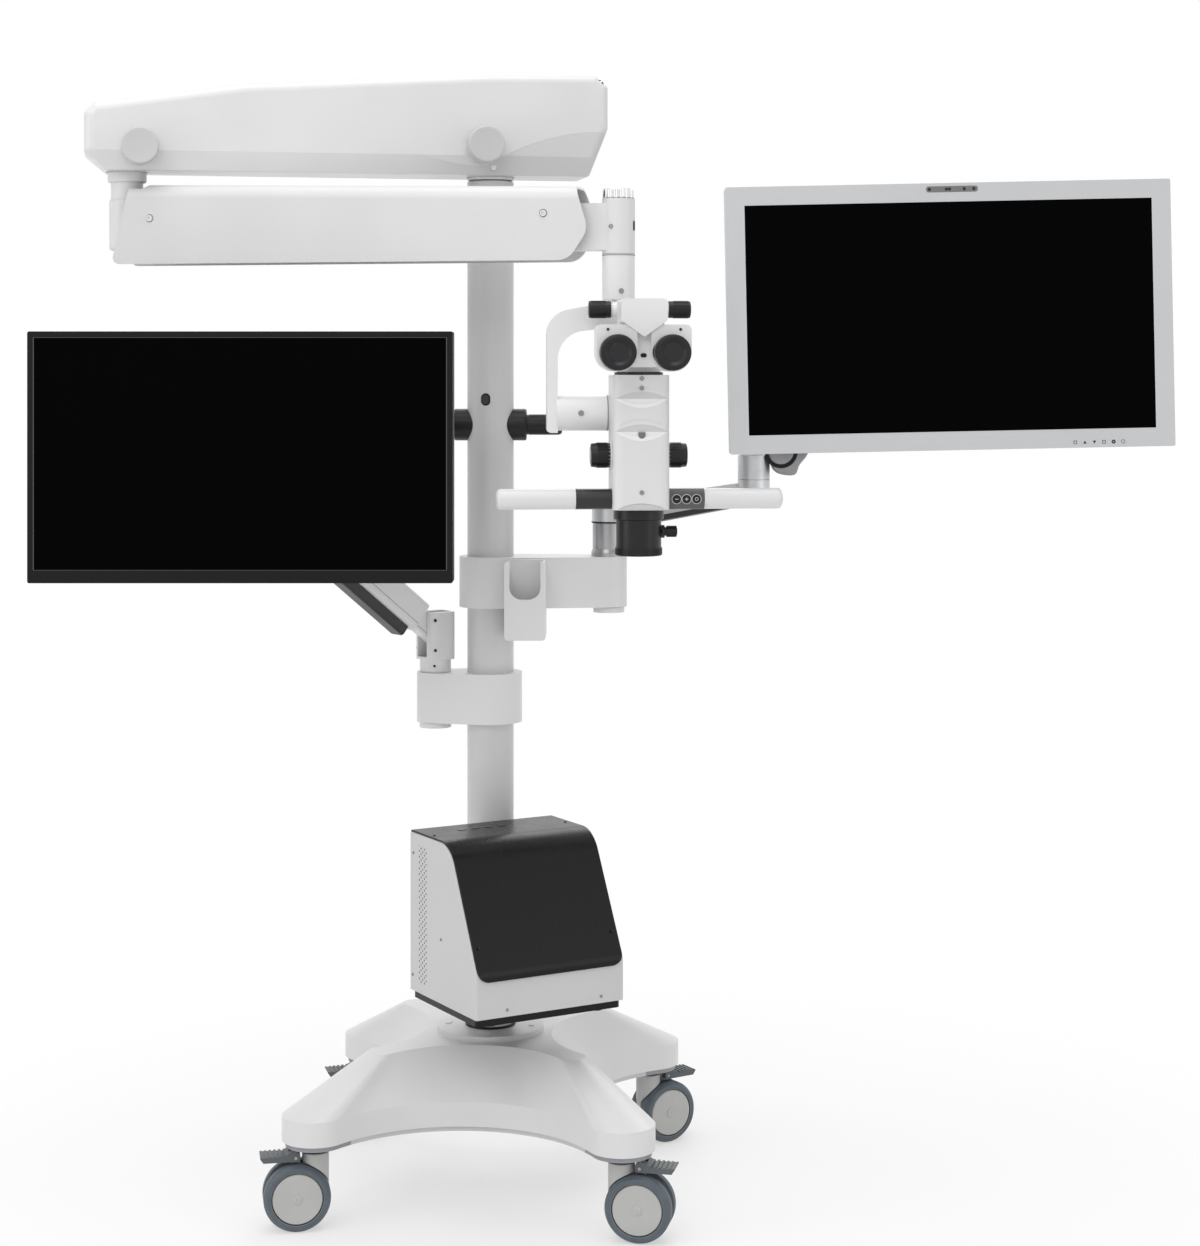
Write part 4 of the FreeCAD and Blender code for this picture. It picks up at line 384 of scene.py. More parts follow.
# Casters: four twin-wheel casters with a grey nylon fork, slate polyurethane tyres on light hubs and a
# slate brake pedal. Small caps close the axle ends.
HUB_ROUND = 0.0375
TYRE = (0.085, 0.105, 0.125)
HEADINGS = {"back_right": (0, 32), "back_left": (1, 195), "front_left": (2, 190), "front_right": (3, -12)}

fork_grey = paint("fork_grey", (0.50, 0.50, 0.49), 0.42)
pedal_slate = paint("pedal_slate", (0.10, 0.11, 0.118), 0.45, 0.00008, 1500.0)


def wheel_finish(name, centre, axis):
    """A tyre round a hub, told apart by their distance from the axle."""
    material, shader, start = surface(name)
    place = start.place()
    settings = {"operation": "SUBTRACT"}
    arm = start.node("ShaderNodeVectorMath", settings, {0: place, 1: tuple(centre)})
    off = start.node("ShaderNodeVectorMath", {"operation": "DOT_PRODUCT"}, {0: arm, 1: tuple(axis)}, 1)
    far = start.node("ShaderNodeVectorMath", {"operation": "LENGTH"}, {0: arm}, 1)
    out = (far * far - off * off).maths("SQRT", far * far - off * off)
    rubber = out.between(HUB_ROUND + 0.0012, HUB_ROUND + 0.0018)
    groove = out.between(HUB_ROUND - 0.0006, HUB_ROUND) - out.between(HUB_ROUND + 0.001, HUB_ROUND + 0.0016)
    wear = place.noise(60.0, 4.0, 0.6).between(0.35, 0.75)
    tread = wear.blend(TYRE, tuple(c * 1.25 for c in TYRE))
    hub = place.noise(14.0).between(0.3, 0.7).blend((0.47, 0.47, 0.46), (0.50, 0.50, 0.49))
    wire(
        shader,
        Base_Color=groove.blend(rubber.blend(hub, tread), (0.03, 0.03, 0.03)),
        Roughness=rubber * 0.15 + wear * 0.08 + 0.36,
        Normal=place.noise(900.0).bump(0.00006),
    )
    return material


for corner, (arm, heading) in HEADINGS.items():
    angle = math.radians(ARM_TURN + 90 * arm)
    reach = CASTER_CIRCLE / 1000
    caster = frame_at(COLUMN_X + reach * math.cos(angle), COLUMN_Y + reach * math.sin(angle), 0, heading)
    dress(fork_grey, f"caster_{corner}_fork")
    dress(pedal_slate, f"caster_{corner}_pedal")
    centre = caster @ Vector((0.028, 0, 0.050))
    axis = caster.to_3x3() @ Vector((0, 1, 0))
    dress(wheel_finish(f"wheel_{corner}", centre, axis), f"caster_{corner}_wheels")
    caps = Shape()
    cap = [(0, 25.0), (7.5, 25.0), (7.5, 26.4), (6.6, 27.0), (2.4, 27.0), (2.0, 26.4), (0, 26.4)]
    for turn in (FRONT, BACK):
        caps.lathe(cap, spot(28, 0, 50, turn), 28)
    caps.piece(f"caster_{corner}_axle_caps", f"caster_{corner}_wheel_body", "caster_grey", fork_grey, caster)

# Column: a white powder-coated steel tube with the push handle through it. An oval socket with a glossy
# plug sits in its front, screws close the ends of the handle, and ribs ring its grips.
white_tube = paint("white_tube", (0.62, 0.62, 0.62), 0.36, 0.00004, 800.0)
handle_black = paint("handle_black", BLACK, 0.42, 0.00005, 1100.0, 0.35)
gloss_black = paint("gloss_black", (0.006, 0.006, 0.007), 0.12, 0.000005, 400.0)
chrome = metal("chrome", (0.80, 0.80, 0.81), 0.06)
screw_steel = metal("screw_steel", (0.30, 0.30, 0.31), 0.3)
dark_screw = metal("dark_screw", (0.05, 0.05, 0.052), 0.35)
dress(white_tube, "column_tube")
dress(handle_black, "push_handle")


def grow_tree(name, sizes):
    """A node tree to grow a mesh with: its entry shades by name and a function that closes it."""
    tree = bpy.data.node_groups.new(name, "GeometryNodeTree")
    kinds = {int: "NodeSocketInt", float: "NodeSocketFloat"}
    tree.interface.new_socket("Geometry", in_out="INPUT", socket_type="NodeSocketGeometry")
    tree.interface.new_socket("Finish", in_out="INPUT", socket_type="NodeSocketMaterial")
    for label, value in sizes.items():
        made = tree.interface.new_socket(label, in_out="INPUT", socket_type=kinds[type(value)])
        made.default_value = value
    tree.interface.new_socket("Geometry", in_out="OUTPUT", socket_type="NodeSocketGeometry")
    entry = tree.nodes.new("NodeGroupInput")
    given = {socket.name: Shade(tree, socket) for socket in entry.outputs if socket.name}

    def close(result):
        real = result.node("GeometryNodeRealizeInstances", {}, {"Geometry": result})
        sockets = {"Geometry": real, "Material": given["Finish"]}
        done = result.node("GeometryNodeSetMaterial", {}, sockets)
        tree.links.new(done.socket, tree.nodes.new("NodeGroupOutput").inputs[0])
        return tree

    return Shade(tree), given, close


def grown(name, source, tree, body, finish, sizes, where=Matrix()):
    """Runs a node tree on a mesh and puts the result in the scene as real geometry."""
    maker = bpy.data.objects.new(name, source)
    bpy.context.scene.collection.objects.link(maker)
    modifier = maker.modifiers.new("grow", "NODES")
    modifier.node_group = tree
    values = {**sizes, "Finish": finish}
    for item in tree.interface.items_tree:
        if item.in_out == "INPUT" and item.name in values:
            modifier[item.identifier] = values[item.name]
    ready = maker.evaluated_get(bpy.context.evaluated_depsgraph_get())
    data = bpy.data.meshes.new_from_object(ready)
    bpy.data.objects.remove(maker)
    data.transform(where)
    return settle(name, data, body, finish)


start, given, close = grow_tree("screws_on_points", {"Sides": 6})
cone = {"Vertices": 20, "Radius Top": 0.84, "Radius Bottom": 1.0, "Depth": 0.5}
head = start.node("GeometryNodeMeshCone", {}, cone)
well = {"Vertices": given["Sides"], "Radius": 0.5, "Depth": 0.5}
well = start.node("GeometryNodeMeshCylinder", {}, well)
well = start.node("GeometryNodeTransform", {}, {"Geometry": well, "Translation": (0, 0, 0.46)})
head = start.node("GeometryNodeMeshBoolean", {"operation": "DIFFERENCE"}, {"Mesh 1": head, "Mesh 2": well})
facing = start.node("GeometryNodeInputNamedAttribute", {"data_type": "FLOAT_VECTOR"}, {"Name": "facing"})
size = start.node("GeometryNodeInputNamedAttribute", {"data_type": "FLOAT"}, {"Name": "size"})
turn = start.node("FunctionNodeAlignRotationToVector", {"axis": "Z"}, {"Vector": facing})
sockets = {"Points": given["Geometry"], "Instance": head, "Rotation": turn, "Scale": size}
screw_tree = close(start.node("GeometryNodeInstanceOnPoints", {}, sockets))


def screws(name, body, where, spots, finish=None, sides=6):
    """Socket-head screws at (x, y, z, facing, radius), in millimetres of a frame."""
    mesh = bpy.data.meshes.new(name)
    mesh.from_pydata([where @ (Vector(s[:3]) * 0.001) for s in spots], [], [])
    mesh.attributes.new("facing", "FLOAT_VECTOR", "POINT")
    mesh.attributes.new("size", "FLOAT", "POINT")
    for i, point in enumerate(spots):
        mesh.attributes["facing"].data[i].vector = (where.to_3x3() @ Vector(point[3])).normalized()
        mesh.attributes["size"].data[i].value = point[4] * 0.001
    return grown(name, mesh, screw_tree, body, finish or chrome, {"Sides": sides})


start, given, close = grow_tree("ribs_round_axis", {
    "Count": 24, "Radius": 0.01, "Length": 0.01, "Width": 0.001, "Height": 0.001,
})
sockets = {"Vertices": given["Count"], "Radius": given["Radius"]}
circle = start.node("GeometryNodeMeshCircle", {}, sockets)
shape = {"X": given["Height"], "Y": given["Width"], "Z": given["Length"]}
shape = start.node("ShaderNodeCombineXYZ", {}, shape)
rib = start.node("GeometryNodeMeshCube", {}, {"Size": shape})
out = start.node("GeometryNodeInputPosition", {}, {})
turn = start.node("FunctionNodeAlignRotationToVector", {"axis": "X", "pivot_axis": "Z"}, {"Vector": out})
sockets = {"Points": circle, "Instance": rib, "Rotation": turn}
rib_tree = close(start.node("GeometryNodeInstanceOnPoints", {}, sockets))


def ribs(name, body, finish, where, at, radius, length, count, width, height):
    """Grip ribs or scale marks round the Z axis of a place in a frame, in millimetres."""
    sizes = {"Count": count, "Radius": radius, "Length": length, "Width": width, "Height": height}
    sizes = {label: value if label == "Count" else value * 0.001 for label, value in sizes.items()}
    place = where @ Matrix.Scale(0.001, 4) @ at @ Matrix.Scale(1000, 4)
    return grown(name, bpy.data.meshes.new(name), rib_tree, body, finish, sizes, place)


oval = Shape().block(14.4, 19.4, 0.5, 7.1, spot(-6, -34.8, 1234, FRONT), 0.2)
oval.piece("socket_ring", "stand", "black_plastic", soft_black, STAND)
oval = Shape().block(10.6, 15.4, 1.2, 5.2, spot(-6, -34.9, 1234, FRONT), 0.4)
oval.piece("socket_plug", "stand", "black_plastic", gloss_black, STAND)
ends = [(112.6, 0, 1194, (1, 0, 0), 3.4), (-112.6, 0, 1194, (-1, 0, 0), 3.4)]
screws("push_handle_screws", "stand", STAND, ends, dark_screw)
for label, x in (("left", -84), ("right", 84)):
    where = spot(x, 0, 1194, RIGHT)
    ribs(f"grip_rings_{label}", "stand", handle_black, STAND, where, 15.7, 46, 30, 1.4, 0.7)

# Clamp brackets: two white cast clamps on the column, each with a lobe that carries a monitor arm and a
# round cap under it. Socket screws close them at the back. The accessory holder hangs on the upper one.
white_cast = paint("white_cast", WHITE, 0.42, 0.00006, 900.0)
dress(white_cast, "lower_bracket", "upper_bracket")
dress(white_shell, "accessory_holder")
clamp_screws = []
for x, y, low in ((-30, 40.2, 727), (-30, 40.2, 908)):
    clamp_screws += [(x, y, low + 20, (-0.3, 1, 0), 4.2), (x, y, low + 58, (-0.3, 1, 0), 4.2)]
screws("clamp_screws", "stand", STAND, clamp_screws)
seams = Shape()
for x, low, round_by in ((-86.8, 727, 25.4), (186.5, 908, 24.9)):
    ring = [(round_by - 0.6, low - 0.7), (round_by + 0.5, low - 0.7)]
    ring += [(round_by + 0.5, low), (round_by - 0.6, low)]
    seams.lathe(ring, spot(x, 0, 0), 48, closed=True)
seams.piece("clamp_cap_seams", "stand", "black_plastic", soft_black, STAND)

# Docking station: a folded white sheet cabinet under a wrapped black cover, on a black plinth. Its sides
# have staggered vent holes near the back, painted dark as their shade, the cover has four port slots on top,
# and small screws hold all.
DOCK = frame_at(COLUMN_X, COLUMN_Y, 0, 30.0)
DOCK_LEFT = -160.6
DOCK_RIGHT = 87.8
DOCK_BACK = -44.0
VENT_START = 31
VENT_APART = 5.75
VENT_PITCH = 8.8


def vent_hole_shade(place):
    """Five staggered columns of small holes in both side walls, painted near-black as the shade inside them."""
    x, y, z = place.local(DOCK)
    middle = (DOCK_LEFT + DOCK_RIGHT) / 2
    side = (x - middle).maths("ABSOLUTE", x - middle) > (DOCK_RIGHT - DOCK_LEFT) / 2 - 0.6
    deep = DOCK_BACK - y
    across = (deep - VENT_START) * (1 / VENT_APART)
    column = across.maths("ROUND", across)
    off = deep - VENT_START - column * VENT_APART
    raised = z + column.maths("PINGPONG", column, 1.0) * (VENT_PITCH / 2)
    up = raised.maths("FLOORED_MODULO", raised, VENT_PITCH) - VENT_PITCH / 2
    near = off * off + up * up < 2.6
    inside = (deep > 28) * (deep < 57) * (z > 350) * (z < 558)
    return [(near * inside * side, (0.02, 0.02, 0.02))]


dock_white = paint("dock_white", (0.58, 0.58, 0.58), 0.4, 0.00004, 1200.0, 0.5, vent_hole_shade)
dock_black = paint("dock_black", (0.004, 0.004, 0.0042), 0.28, 0.00004, 1400.0, 0.22)
dress(dock_white, "dock_body")
dress(dock_black, "dock_cover", "dock_plinth")
side_screws = []
for x, away in ((DOCK_LEFT - 0.1, -1), (DOCK_RIGHT + 0.1, 1)):
    for deep, high in ((11, 544), (105, 430), (9, 358)):
        side_screws.append((x, DOCK_BACK - deep, high, (away, 0, 0), 2.3))
for x in (DOCK_LEFT + 51, DOCK_RIGHT - 39):
    side_screws.append((x, DOCK_BACK - 220.1, 344, (0, -1, 0), 2.3))
screws("dock_side_screws", "stand", DOCK, side_screws, screw_steel, sides=4)
slope = (0, -0.893, 0.451)
dark_spots = [(x, -249.8, 436, slope, 2.0) for x in (DOCK_LEFT + 12, DOCK_RIGHT - 12)]
dark_spots += [(x, -104, 577.0, (0, 0, 1), 2.2) for x in (DOCK_LEFT + 11, DOCK_RIGHT - 11)]
screws("dock_cover_screws", "stand", DOCK, dark_spots, dark_screw, 4)
ports = Shape()
for i in range(4):
    ports.block(13, 6.4, 0.5, 0.8, spot(-93 + 22.6 * i, -84, 577.0), 0.2, 3)
ports.piece("dock_port_frames", "stand", "dock_black", dock_black, DOCK)
ports = Shape()
for i in range(4):
    ports.block(11.4, 4.8, 0.4, 0.4, spot(-93 + 22.6 * i, -84, 577.3), 0.1, 3)
ports.piece("dock_ports", "stand", "black_plastic", gloss_black, DOCK)
feet = Shape()
for x in (DOCK_LEFT + 34, DOCK_RIGHT - 34):
    for y in (DOCK_BACK - 24, DOCK_BACK - 196):
        feet.lathe([(0, 318.5), (9, 318.5), (10, 319.5), (10, 323.2), (0, 323.2)], spot(x, y, 0), 28)
feet.piece("dock_feet", "stand", "black_plastic", soft_black, DOCK)

# Left monitor arm: white cast pieces with a sprung beam between two forks, and a black cable channel
# clipped under the beam. A black swivel mount carries the screen.
LEFT_BEAM = frame_at(COLUMN_X - 0.0868, COLUMN_Y, 0.863, 217.7, -38.6)
LEFT_TURN = frame_at(COLUMN_X - 0.0868, COLUMN_Y, 0, 217.7)
wrist = LEFT_BEAM @ Vector((0.4286, 0, 0))


def left_channel(place):
    x, y, z = place.local(LEFT_BEAM)
    seam = (z > -12.4) * (z < -11.4) * (x > 22)
    return [(z < -25.3, (0.014, 0.014, 0.015)), (seam, (0.30, 0.30, 0.30))]


beam_white = paint("beam_white", WHITE, 0.4, 0.00005, 900.0, 0.5, left_channel)
dress(white_cast, "left_swivel", "left_wrist")
dress(beam_white, "left_beam")
dress(soft_black, "left_mount")
block_spots = [(17.0, way * 25.0, high, (0, way, 0), 2.6) for way in (-1, 1) for high in (888, 841)]
block_spots.append((14.8, 19.2, 816, (0.61, 0.79, 0), 2.2))
screws("left_block_screws", "left_post", LEFT_TURN, block_spots, dark_screw)

# Left monitor: a black moulded case with a narrow bezel, a deeper lower edge and a matt screen. A fine
# bright line runs round the screen. The back has vent slots, painted dark as their shade, a port bay and a
# screwed mounting plate.
SCREEN_FORWARD = 0.032
SCREEN_RISE = 0.0405
LEFT_SCREEN = Matrix.Translation((wrist.x, wrist.y - SCREEN_FORWARD, wrist.z + SCREEN_RISE))


def monitor_detail(side, where, wide, tall, middle, rim, chin, deep, line_tone, slot):
    """Screen line, back plate with its screws, port bay and ports of one monitor."""
    front = -(22.0 + deep)
    low = middle - tall / 2 + chin
    high = middle + tall / 2 - rim
    half = wide / 2 - rim
    line = Shape()
    for x, z, across, up in (
        (0, low, half * 2, 0.7), (0, high, half * 2, 0.7), (-half, (low + high) / 2, 0.7, high - low),
        (half, (low + high) / 2, 0.7, high - low),
    ):
        line.block(across + 0.7, up, 1.0, 0.1, spot(x, front + 0.9, z, FRONT), 0.0, 1)
    line_finish = paint(f"{side}_screen_line", line_tone, 0.4, 0.00001)
    line.piece(f"{side}_screen_line", f"{side}_monitor", slot, line_finish, where)
    plate = Shape().block(118, 118, 2.0, 8, spot(0, -10.2, 0, BACK), 0.6)
    plate.piece(f"{side}_back_plate", f"{side}_monitor", "black_plastic", soft_black, where)
    spots = [(x, -8.2, z, (0, 1, 0), 3.2) for x in (-50, 50) for z in (-50, 50)]
    screws(f"{side}_plate_screws", f"{side}_monitor", where, spots, sides=4)
    bay = Shape().block(150, 16, 1.0, 3, spot(0, -10.3, middle - tall * 0.27, BACK), 0.3)
    bay.piece(f"{side}_port_bay", f"{side}_monitor", "black_plastic", gloss_black, where)
    ports = Shape()
    for i in range(6):
        ports.block(15, 6.5, 0.8, 1, spot(-52 + 21 * i, -9.4, middle - tall * 0.27, BACK), 0.2, 3)
    ports.piece(f"{side}_ports", f"{side}_monitor", "chrome", port_metal, where)


def back_vent_shade(where, middle, tall, tone):
    """Rows of slots in the raised middle of a monitor's back, painted darker as the shade inside them."""
    def masks(place):
        x, y, z = place.local(where)
        row = (z * (1 / 5.0)).maths("FRACT", z * (1 / 5.0))
        cell = (x * (1 / 46.0)).maths("FRACT", x * (1 / 46.0))
        inside = (z > middle + tall * 0.18) * (z < middle + tall * 0.27) * (y > -10.6)
        return [((row < 0.42) * (cell < 0.86) * inside, tone)]
    return masks


port_metal = metal("port_metal", (0.45, 0.45, 0.46), 0.3)
screen_glass = paint("screen_glass", (0.0006, 0.0006, 0.0007), 0.3, 0.00001, 2500.0, 0.02)
case_black = paint("case_black", (0.004, 0.004, 0.0045), 0.4, 0.00004, 1500.0, 0.2,
                   back_vent_shade(LEFT_SCREEN, -18.0, 367.0, (0.001, 0.001, 0.001)))
dress(case_black, "left_monitor_case")
dress(screen_glass, "left_monitor_panel", "right_monitor_panel")
monitor_detail(
    "left", LEFT_SCREEN, wide=620.0, tall=367.0, middle=-18.0, rim=9.0, chin=19.0, deep=40.0,
    line_tone=(0.05, 0.05, 0.052), slot="monitor_black",
)

# Right monitor arm: a brushed steel post on the upper bracket, a cast aluminium beam with a black cable channel
# along its lower edge, a swivel elbow, and a sprung link up to the wrist behind the screen.
RIGHT_BEAM = frame_at(COLUMN_X + 0.1865, COLUMN_Y, 1.0395, -39.6)
elbow = RIGHT_BEAM @ Vector((0.2823, 0, 0))
RIGHT_LINK = frame_at(elbow.x, elbow.y, 1.172, -1.9, -27.4)
wrist = RIGHT_LINK @ Vector((0.3165, 0, 0))


def right_channel(place):
    x, y, z = place.local(RIGHT_BEAM)
    return [((z - x * 0.178 < -3.4) * (x > 64), (0.02, 0.02, 0.021))]


aluminium = metal("aluminium", (0.62, 0.63, 0.64), 0.36, 0.00006, 420.0)
beam_metal, shader, start = surface("beam_metal")
place = start.place()
smear = place.noise(30.0, 5.0, 0.65)
dark = right_channel(place)[0][0]
wire(
    shader,
    Base_Color=dark.blend(smear.blend((0.64, 0.65, 0.66), (0.55, 0.56, 0.57)), (0.02, 0.02, 0.021)),
    Metallic=1 - dark,
    Roughness=smear * 0.15 + 0.34,
    Normal=place.noise(420.0, 3.0).bump(0.00006),
)
dress(metal("post_steel", (0.40, 0.40, 0.41), 0.32), "right_post")
dress(beam_metal, "right_beam")
dress(aluminium, "right_elbow", "right_link", "right_wrist")
dress(soft_black, "right_mount")
rings = Shape()
for low in (0.2, 36.5):
    ring = [(25.8, low), (27.3, low), (27.3, low + 2.2), (25.8, low + 2.2)]
    rings.lathe(ring, spot(0, 0, 0), 48, closed=True)
rings.piece("right_hub_rings", "right_arm", "black_plastic", soft_black, RIGHT_BEAM)


def curved(points, steps=6):
    """A closed smooth line through points."""
    line = []
    count = len(points)
    for i in range(count):
        a, b, c, d = (points[(i + k) % count] for k in (-1, 0, 1, 2))
        for step in range(steps):
            t = step / steps
            line.append(tuple(
                0.5 * (2 * b[k] + (c[k] - a[k]) * t + (2 * a[k] - 5 * b[k] + 4 * c[k] - d[k]) * t * t
                       + (3 * b[k] - a[k] - 3 * c[k] + d[k]) * t ** 3) for k in (0, 1)))
    return line


housing = Shape()
edge = curved([(20, 6), (24, -30), (34, -46), (60, -49), (68, -34), (80, -18), (84, 4), (52, 12)])
middle = Vector((50, 0, -16))
rings = []
for y, size in ((-19, 0.9), (-16, 1.0), (16, 1.0), (19, 0.9)):
    ring = [middle + (Vector((x, 0, z)) - middle) * size for x, z in edge]
    rings.append([housing.mesh.verts.new((p.x, y, p.z)) for p in ring])
housing.skin(rings)
housing.mesh.faces.new(rings[0])
housing.mesh.faces.new(rings[-1])
RIGHT_ROOT = frame_at(elbow.x, elbow.y, 1.172, -1.9)
housing_metal = metal("housing_metal", (0.30, 0.30, 0.31), 0.36, 0.00006, 420.0)
housing.piece("right_link_housing", "right_link_body", "cast_aluminium", housing_metal, RIGHT_ROOT)
here = spot(40, -18.6, -14, FRONT)
ring = Shape().lathe([(19, 0), (25, 0), (25, 0.9), (19, 0.9)], here, 40, closed=True)
ring.piece("right_link_groove", "right_link_body", "black_plastic", soft_black, RIGHT_ROOT)
disc = Shape().lathe([(0, 0), (18.6, 0), (18.6, 2.2), (17.6, 3.0), (0, 3.2)], here, 40)
disc.piece("right_link_disc", "right_link_body", "cast_aluminium", housing_metal, RIGHT_ROOT)
link_screws = [(along, way * 22.0, 0, (0, way, 0), 2.6) for along in (48, 268) for way in (-1, 1)]
screws("right_link_screws", "right_link_body", RIGHT_LINK, link_screws, dark_screw)

# Right monitor: a silver medical display with a wide bezel, a matt screen with a fine bright line round
# it, a dark sensor strip on its upper edge, and six flush touch marks at the lower right.
RIGHT_SCREEN = Matrix.Translation((wrist.x, wrist.y - SCREEN_FORWARD, wrist.z + SCREEN_RISE))
RIGHT_SCREEN = RIGHT_SCREEN @ Matrix.Rotation(math.radians(-1.15), 4, "Y")
case_silver = paint("case_silver", (0.56, 0.57, 0.58), 0.4, 0.00003, 1500.0, 0.5,
                    back_vent_shade(RIGHT_SCREEN, 0.0, 391.0, (0.02, 0.02, 0.02)))
dress(case_silver, "right_monitor_case")
monitor_detail(
    "right", RIGHT_SCREEN, wide=651.0, tall=391.0, middle=0.0, rim=27.0, chin=27.0, deep=42.0,
    line_tone=(0.62, 0.62, 0.63), slot="monitor_silver",
)
sensor_grey = paint("sensor_grey", (0.17, 0.17, 0.175), 0.2, 0.00001)
strip = Shape().block(76, 9, 0.5, 4.2, spot(6, -63.7, 186.5, FRONT), 0.2)
strip.piece("right_sensor_strip", "right_monitor", "screen", sensor_grey, RIGHT_SCREEN)
eyes = Shape()
for x in (-27, -2, 2.5, 24, 38):
    eyes.lathe([(0, 0), (2.4, 0), (2.4, 0.3), (0, 0.5)], spot(x, -64.1, 186.5, FRONT), 20)
eyes.piece("right_sensors", "right_monitor", "screen", gloss_black, RIGHT_SCREEN)
marks = Shape()
for i in range(6):
    here = spot(179 + 14.0 * i, -64.0, -187.5, FRONT)
    if i in (1, 2):
        up = 1 if i == 1 else -1
        arrow = ((-2.4, -2), (2.4, -2), (0, 2.2))
        marks.mesh.faces.new([marks.mesh.verts.new(here @ Vector((x, y * up, 0.2))) for x, y in arrow])
    elif i in (0, 3):
        sides = ((-2.1, 0, 0.7, 4.9), (2.1, 0, 0.7, 4.9), (0, -2.1, 4.9, 0.7), (0, 2.1, 4.9, 0.7))
        for x, y, wide, tall in sides:
            marks.block(wide, tall, 0.2, 0.2, here @ spot(x, y, 0), 0.0, 1)
    else:
        inner = 1.0 if i == 4 else 2.3
        marks.lathe([(inner, 0), (2.9, 0), (2.9, 0.2), (inner, 0.2)], here, 24, closed=True)
marks.piece("right_touch_marks", "right_monitor", "black_plastic", soft_black, RIGHT_SCREEN)

# Extension arm: a cast beam inside a white moulded cover with a bevelled lower edge. Two lock knobs with
# inset caps stand on its front, and a small plug closes a hole beside the column.
ARM = frame_at(COLUMN_X, COLUMN_Y, 0, 190.75)


def crease_painted_shade(place):
    """The crease that dips to the column knob and sweeps up to the cover's end, with painted shade below it."""
    x, y, z = place.local(ARM)
    rise = ((15 - x) * (1 / 180)).maths("MAXIMUM", (15 - x) * (1 / 180), 0.0)
    rest = (1 - rise).maths("MAXIMUM", 1 - rise, 0.0)
    line = x.between(30.0, 160.0) * 19.5 + (1 - rest * rest) * 54.5 + 1598.0
    below = (line - z).between(0.0, 1.5) * (1 - x.between(50.0, 150.0))
    return [(below, (0.63, 0.63, 0.63))]


cover_white = paint("cover_white", WHITE, 0.32, 0.00003, 500.0, 0.5, crease_painted_shade)
dress(cover_white, "top_arm_cover")
dress(aluminium, "top_arm_beam")
knob_white = paint("knob_white", (0.56, 0.56, 0.56), 0.36, 0.00003, 600.0)
dress(knob_white, "column_lock_knob", "elbow_lock_knob")
for label, along, high in (("column", 19.0, 1628.0), ("elbow", 544.0, 1617.0)):
    face = [(0, 36.1), (14, 36.25), (22, 36.6), (25.4, 37.0), (26.6, 36.8), (27.3, 36.0)]
    face += [(27.3, 35.6), (0, 35.6)]
    where = ARM @ Matrix.Scale(0.001, 4) @ spot(along, 60.5, high, BACK) @ Matrix.Scale(1000, 4)
    dish = Shape().lathe(face, Matrix(), 64)
    dish.piece(f"{label}_knob_face", f"{label}_lock_knob_body", "cover_white", knob_white, where)
plug_white = paint("plug_white", (0.93, 0.93, 0.93), 0.3, 0.00001)
ring = Shape().lathe([(4.5, 0), (5.3, 0), (5.3, 0.5), (4.5, 0.5)], spot(3, 54.4, 1595, BACK), 28, closed=True)
ring.piece("cover_plug_seam", "extension_arm", "black_plastic", fork_grey, ARM)
plug = Shape().lathe([(0, 0), (4.4, 0), (4.4, 0.8), (3.8, 1.3), (0, 1.6)], spot(3, 54.4, 1595, BACK), 24)
plug.piece("cover_plug", "extension_arm", "cover_white", plug_white, ARM)

# Elbow and spring arm: a cast elbow, two steel links between it and the head block, and a bent white
# sheet cover screwed over them. The head block carries a knurled chrome friction knob.
SPRING_YAW = -11.63
elbow = ARM @ Vector((0.5629, 0, 0))
SPRING = frame_at(elbow.x, elbow.y, 0, SPRING_YAW)
link_steel = metal("link_steel", (0.20, 0.20, 0.21), 0.4)
spring_white = paint("spring_white", (0.70, 0.70, 0.70), 0.4, 0.00005, 1000.0)
dress(white_cast, "elbow_block", "head_block")
dress(link_steel, "upper_link", "lower_link")
dress(spring_white, "spring_arm_cover")
dress(chrome, "head_knob")
cover_screws = [(along, way * 39.0, 1510, (0, way, 0), 5.4) for along in (52, 663.8) for way in (-1, 1)]
screws("spring_cover_screws", "spring_arm", SPRING, cover_screws)
block_middle = SPRING @ Vector((0.7688, 0, 0))
block_end = frame_at(block_middle.x, block_middle.y, 0)
block_screws = [(-11.6, -21.4, 1490.5, (-11.6, -21.4, 0), 3.6), (12.5, 20.8, 1490.5, (12.5, 20.8, 0), 3.6)]
screws("head_block_screws", "head_carrier", block_end, block_screws, screw_steel)
slot_turn = Matrix.Rotation(math.radians(68), 4, "Z") @ FRONT
oval = Shape().block(6, 15, 1.0, 2.9, Matrix.Translation((22.2, -9.0, 1492)) @ slot_turn, 0.3)
oval.piece("head_block_slot", "head_carrier", "black_plastic", soft_black, block_end)

# Suspension: a cast white arm that curves down the left of the microscope from a turning tube to the tilt
# housing. A socket screw locks the tube, another sits in the front of the housing.
HEAD = frame_at(0.0238321, -0.2050094, 0, 4.5)
head_white = paint("head_white", (0.80, 0.80, 0.80), 0.38, 0.00005, 900.0)
dress(head_white, "yoke")
yoke_screws = [(2.0, -23.9, 1396, (0.1, -1, 0), 4.0), (-57.0, -25.8, 1217, (0, -1, 0), 4.4)]
screws("yoke_screws", "suspension", HEAD, yoke_screws, screw_steel)
ring = [(24.0, 1448.2), (24.5, 1448.2), (24.5, 1449.6), (24.0, 1449.6)]
seam = Shape().lathe(ring, Matrix(), 48, closed=True)
ring = [(26.0, -17.6), (26.5, -17.6), (26.5, -16.6), (26.0, -16.6)]
seam.lathe(ring, spot(0, 0, 1217, RIGHT), 48, closed=True)
seam_grey = paint("seam_grey", (0.30, 0.30, 0.30), 0.5, 0.00001)
seam.piece("yoke_seams", "suspension", "black_plastic", seam_grey, HEAD)

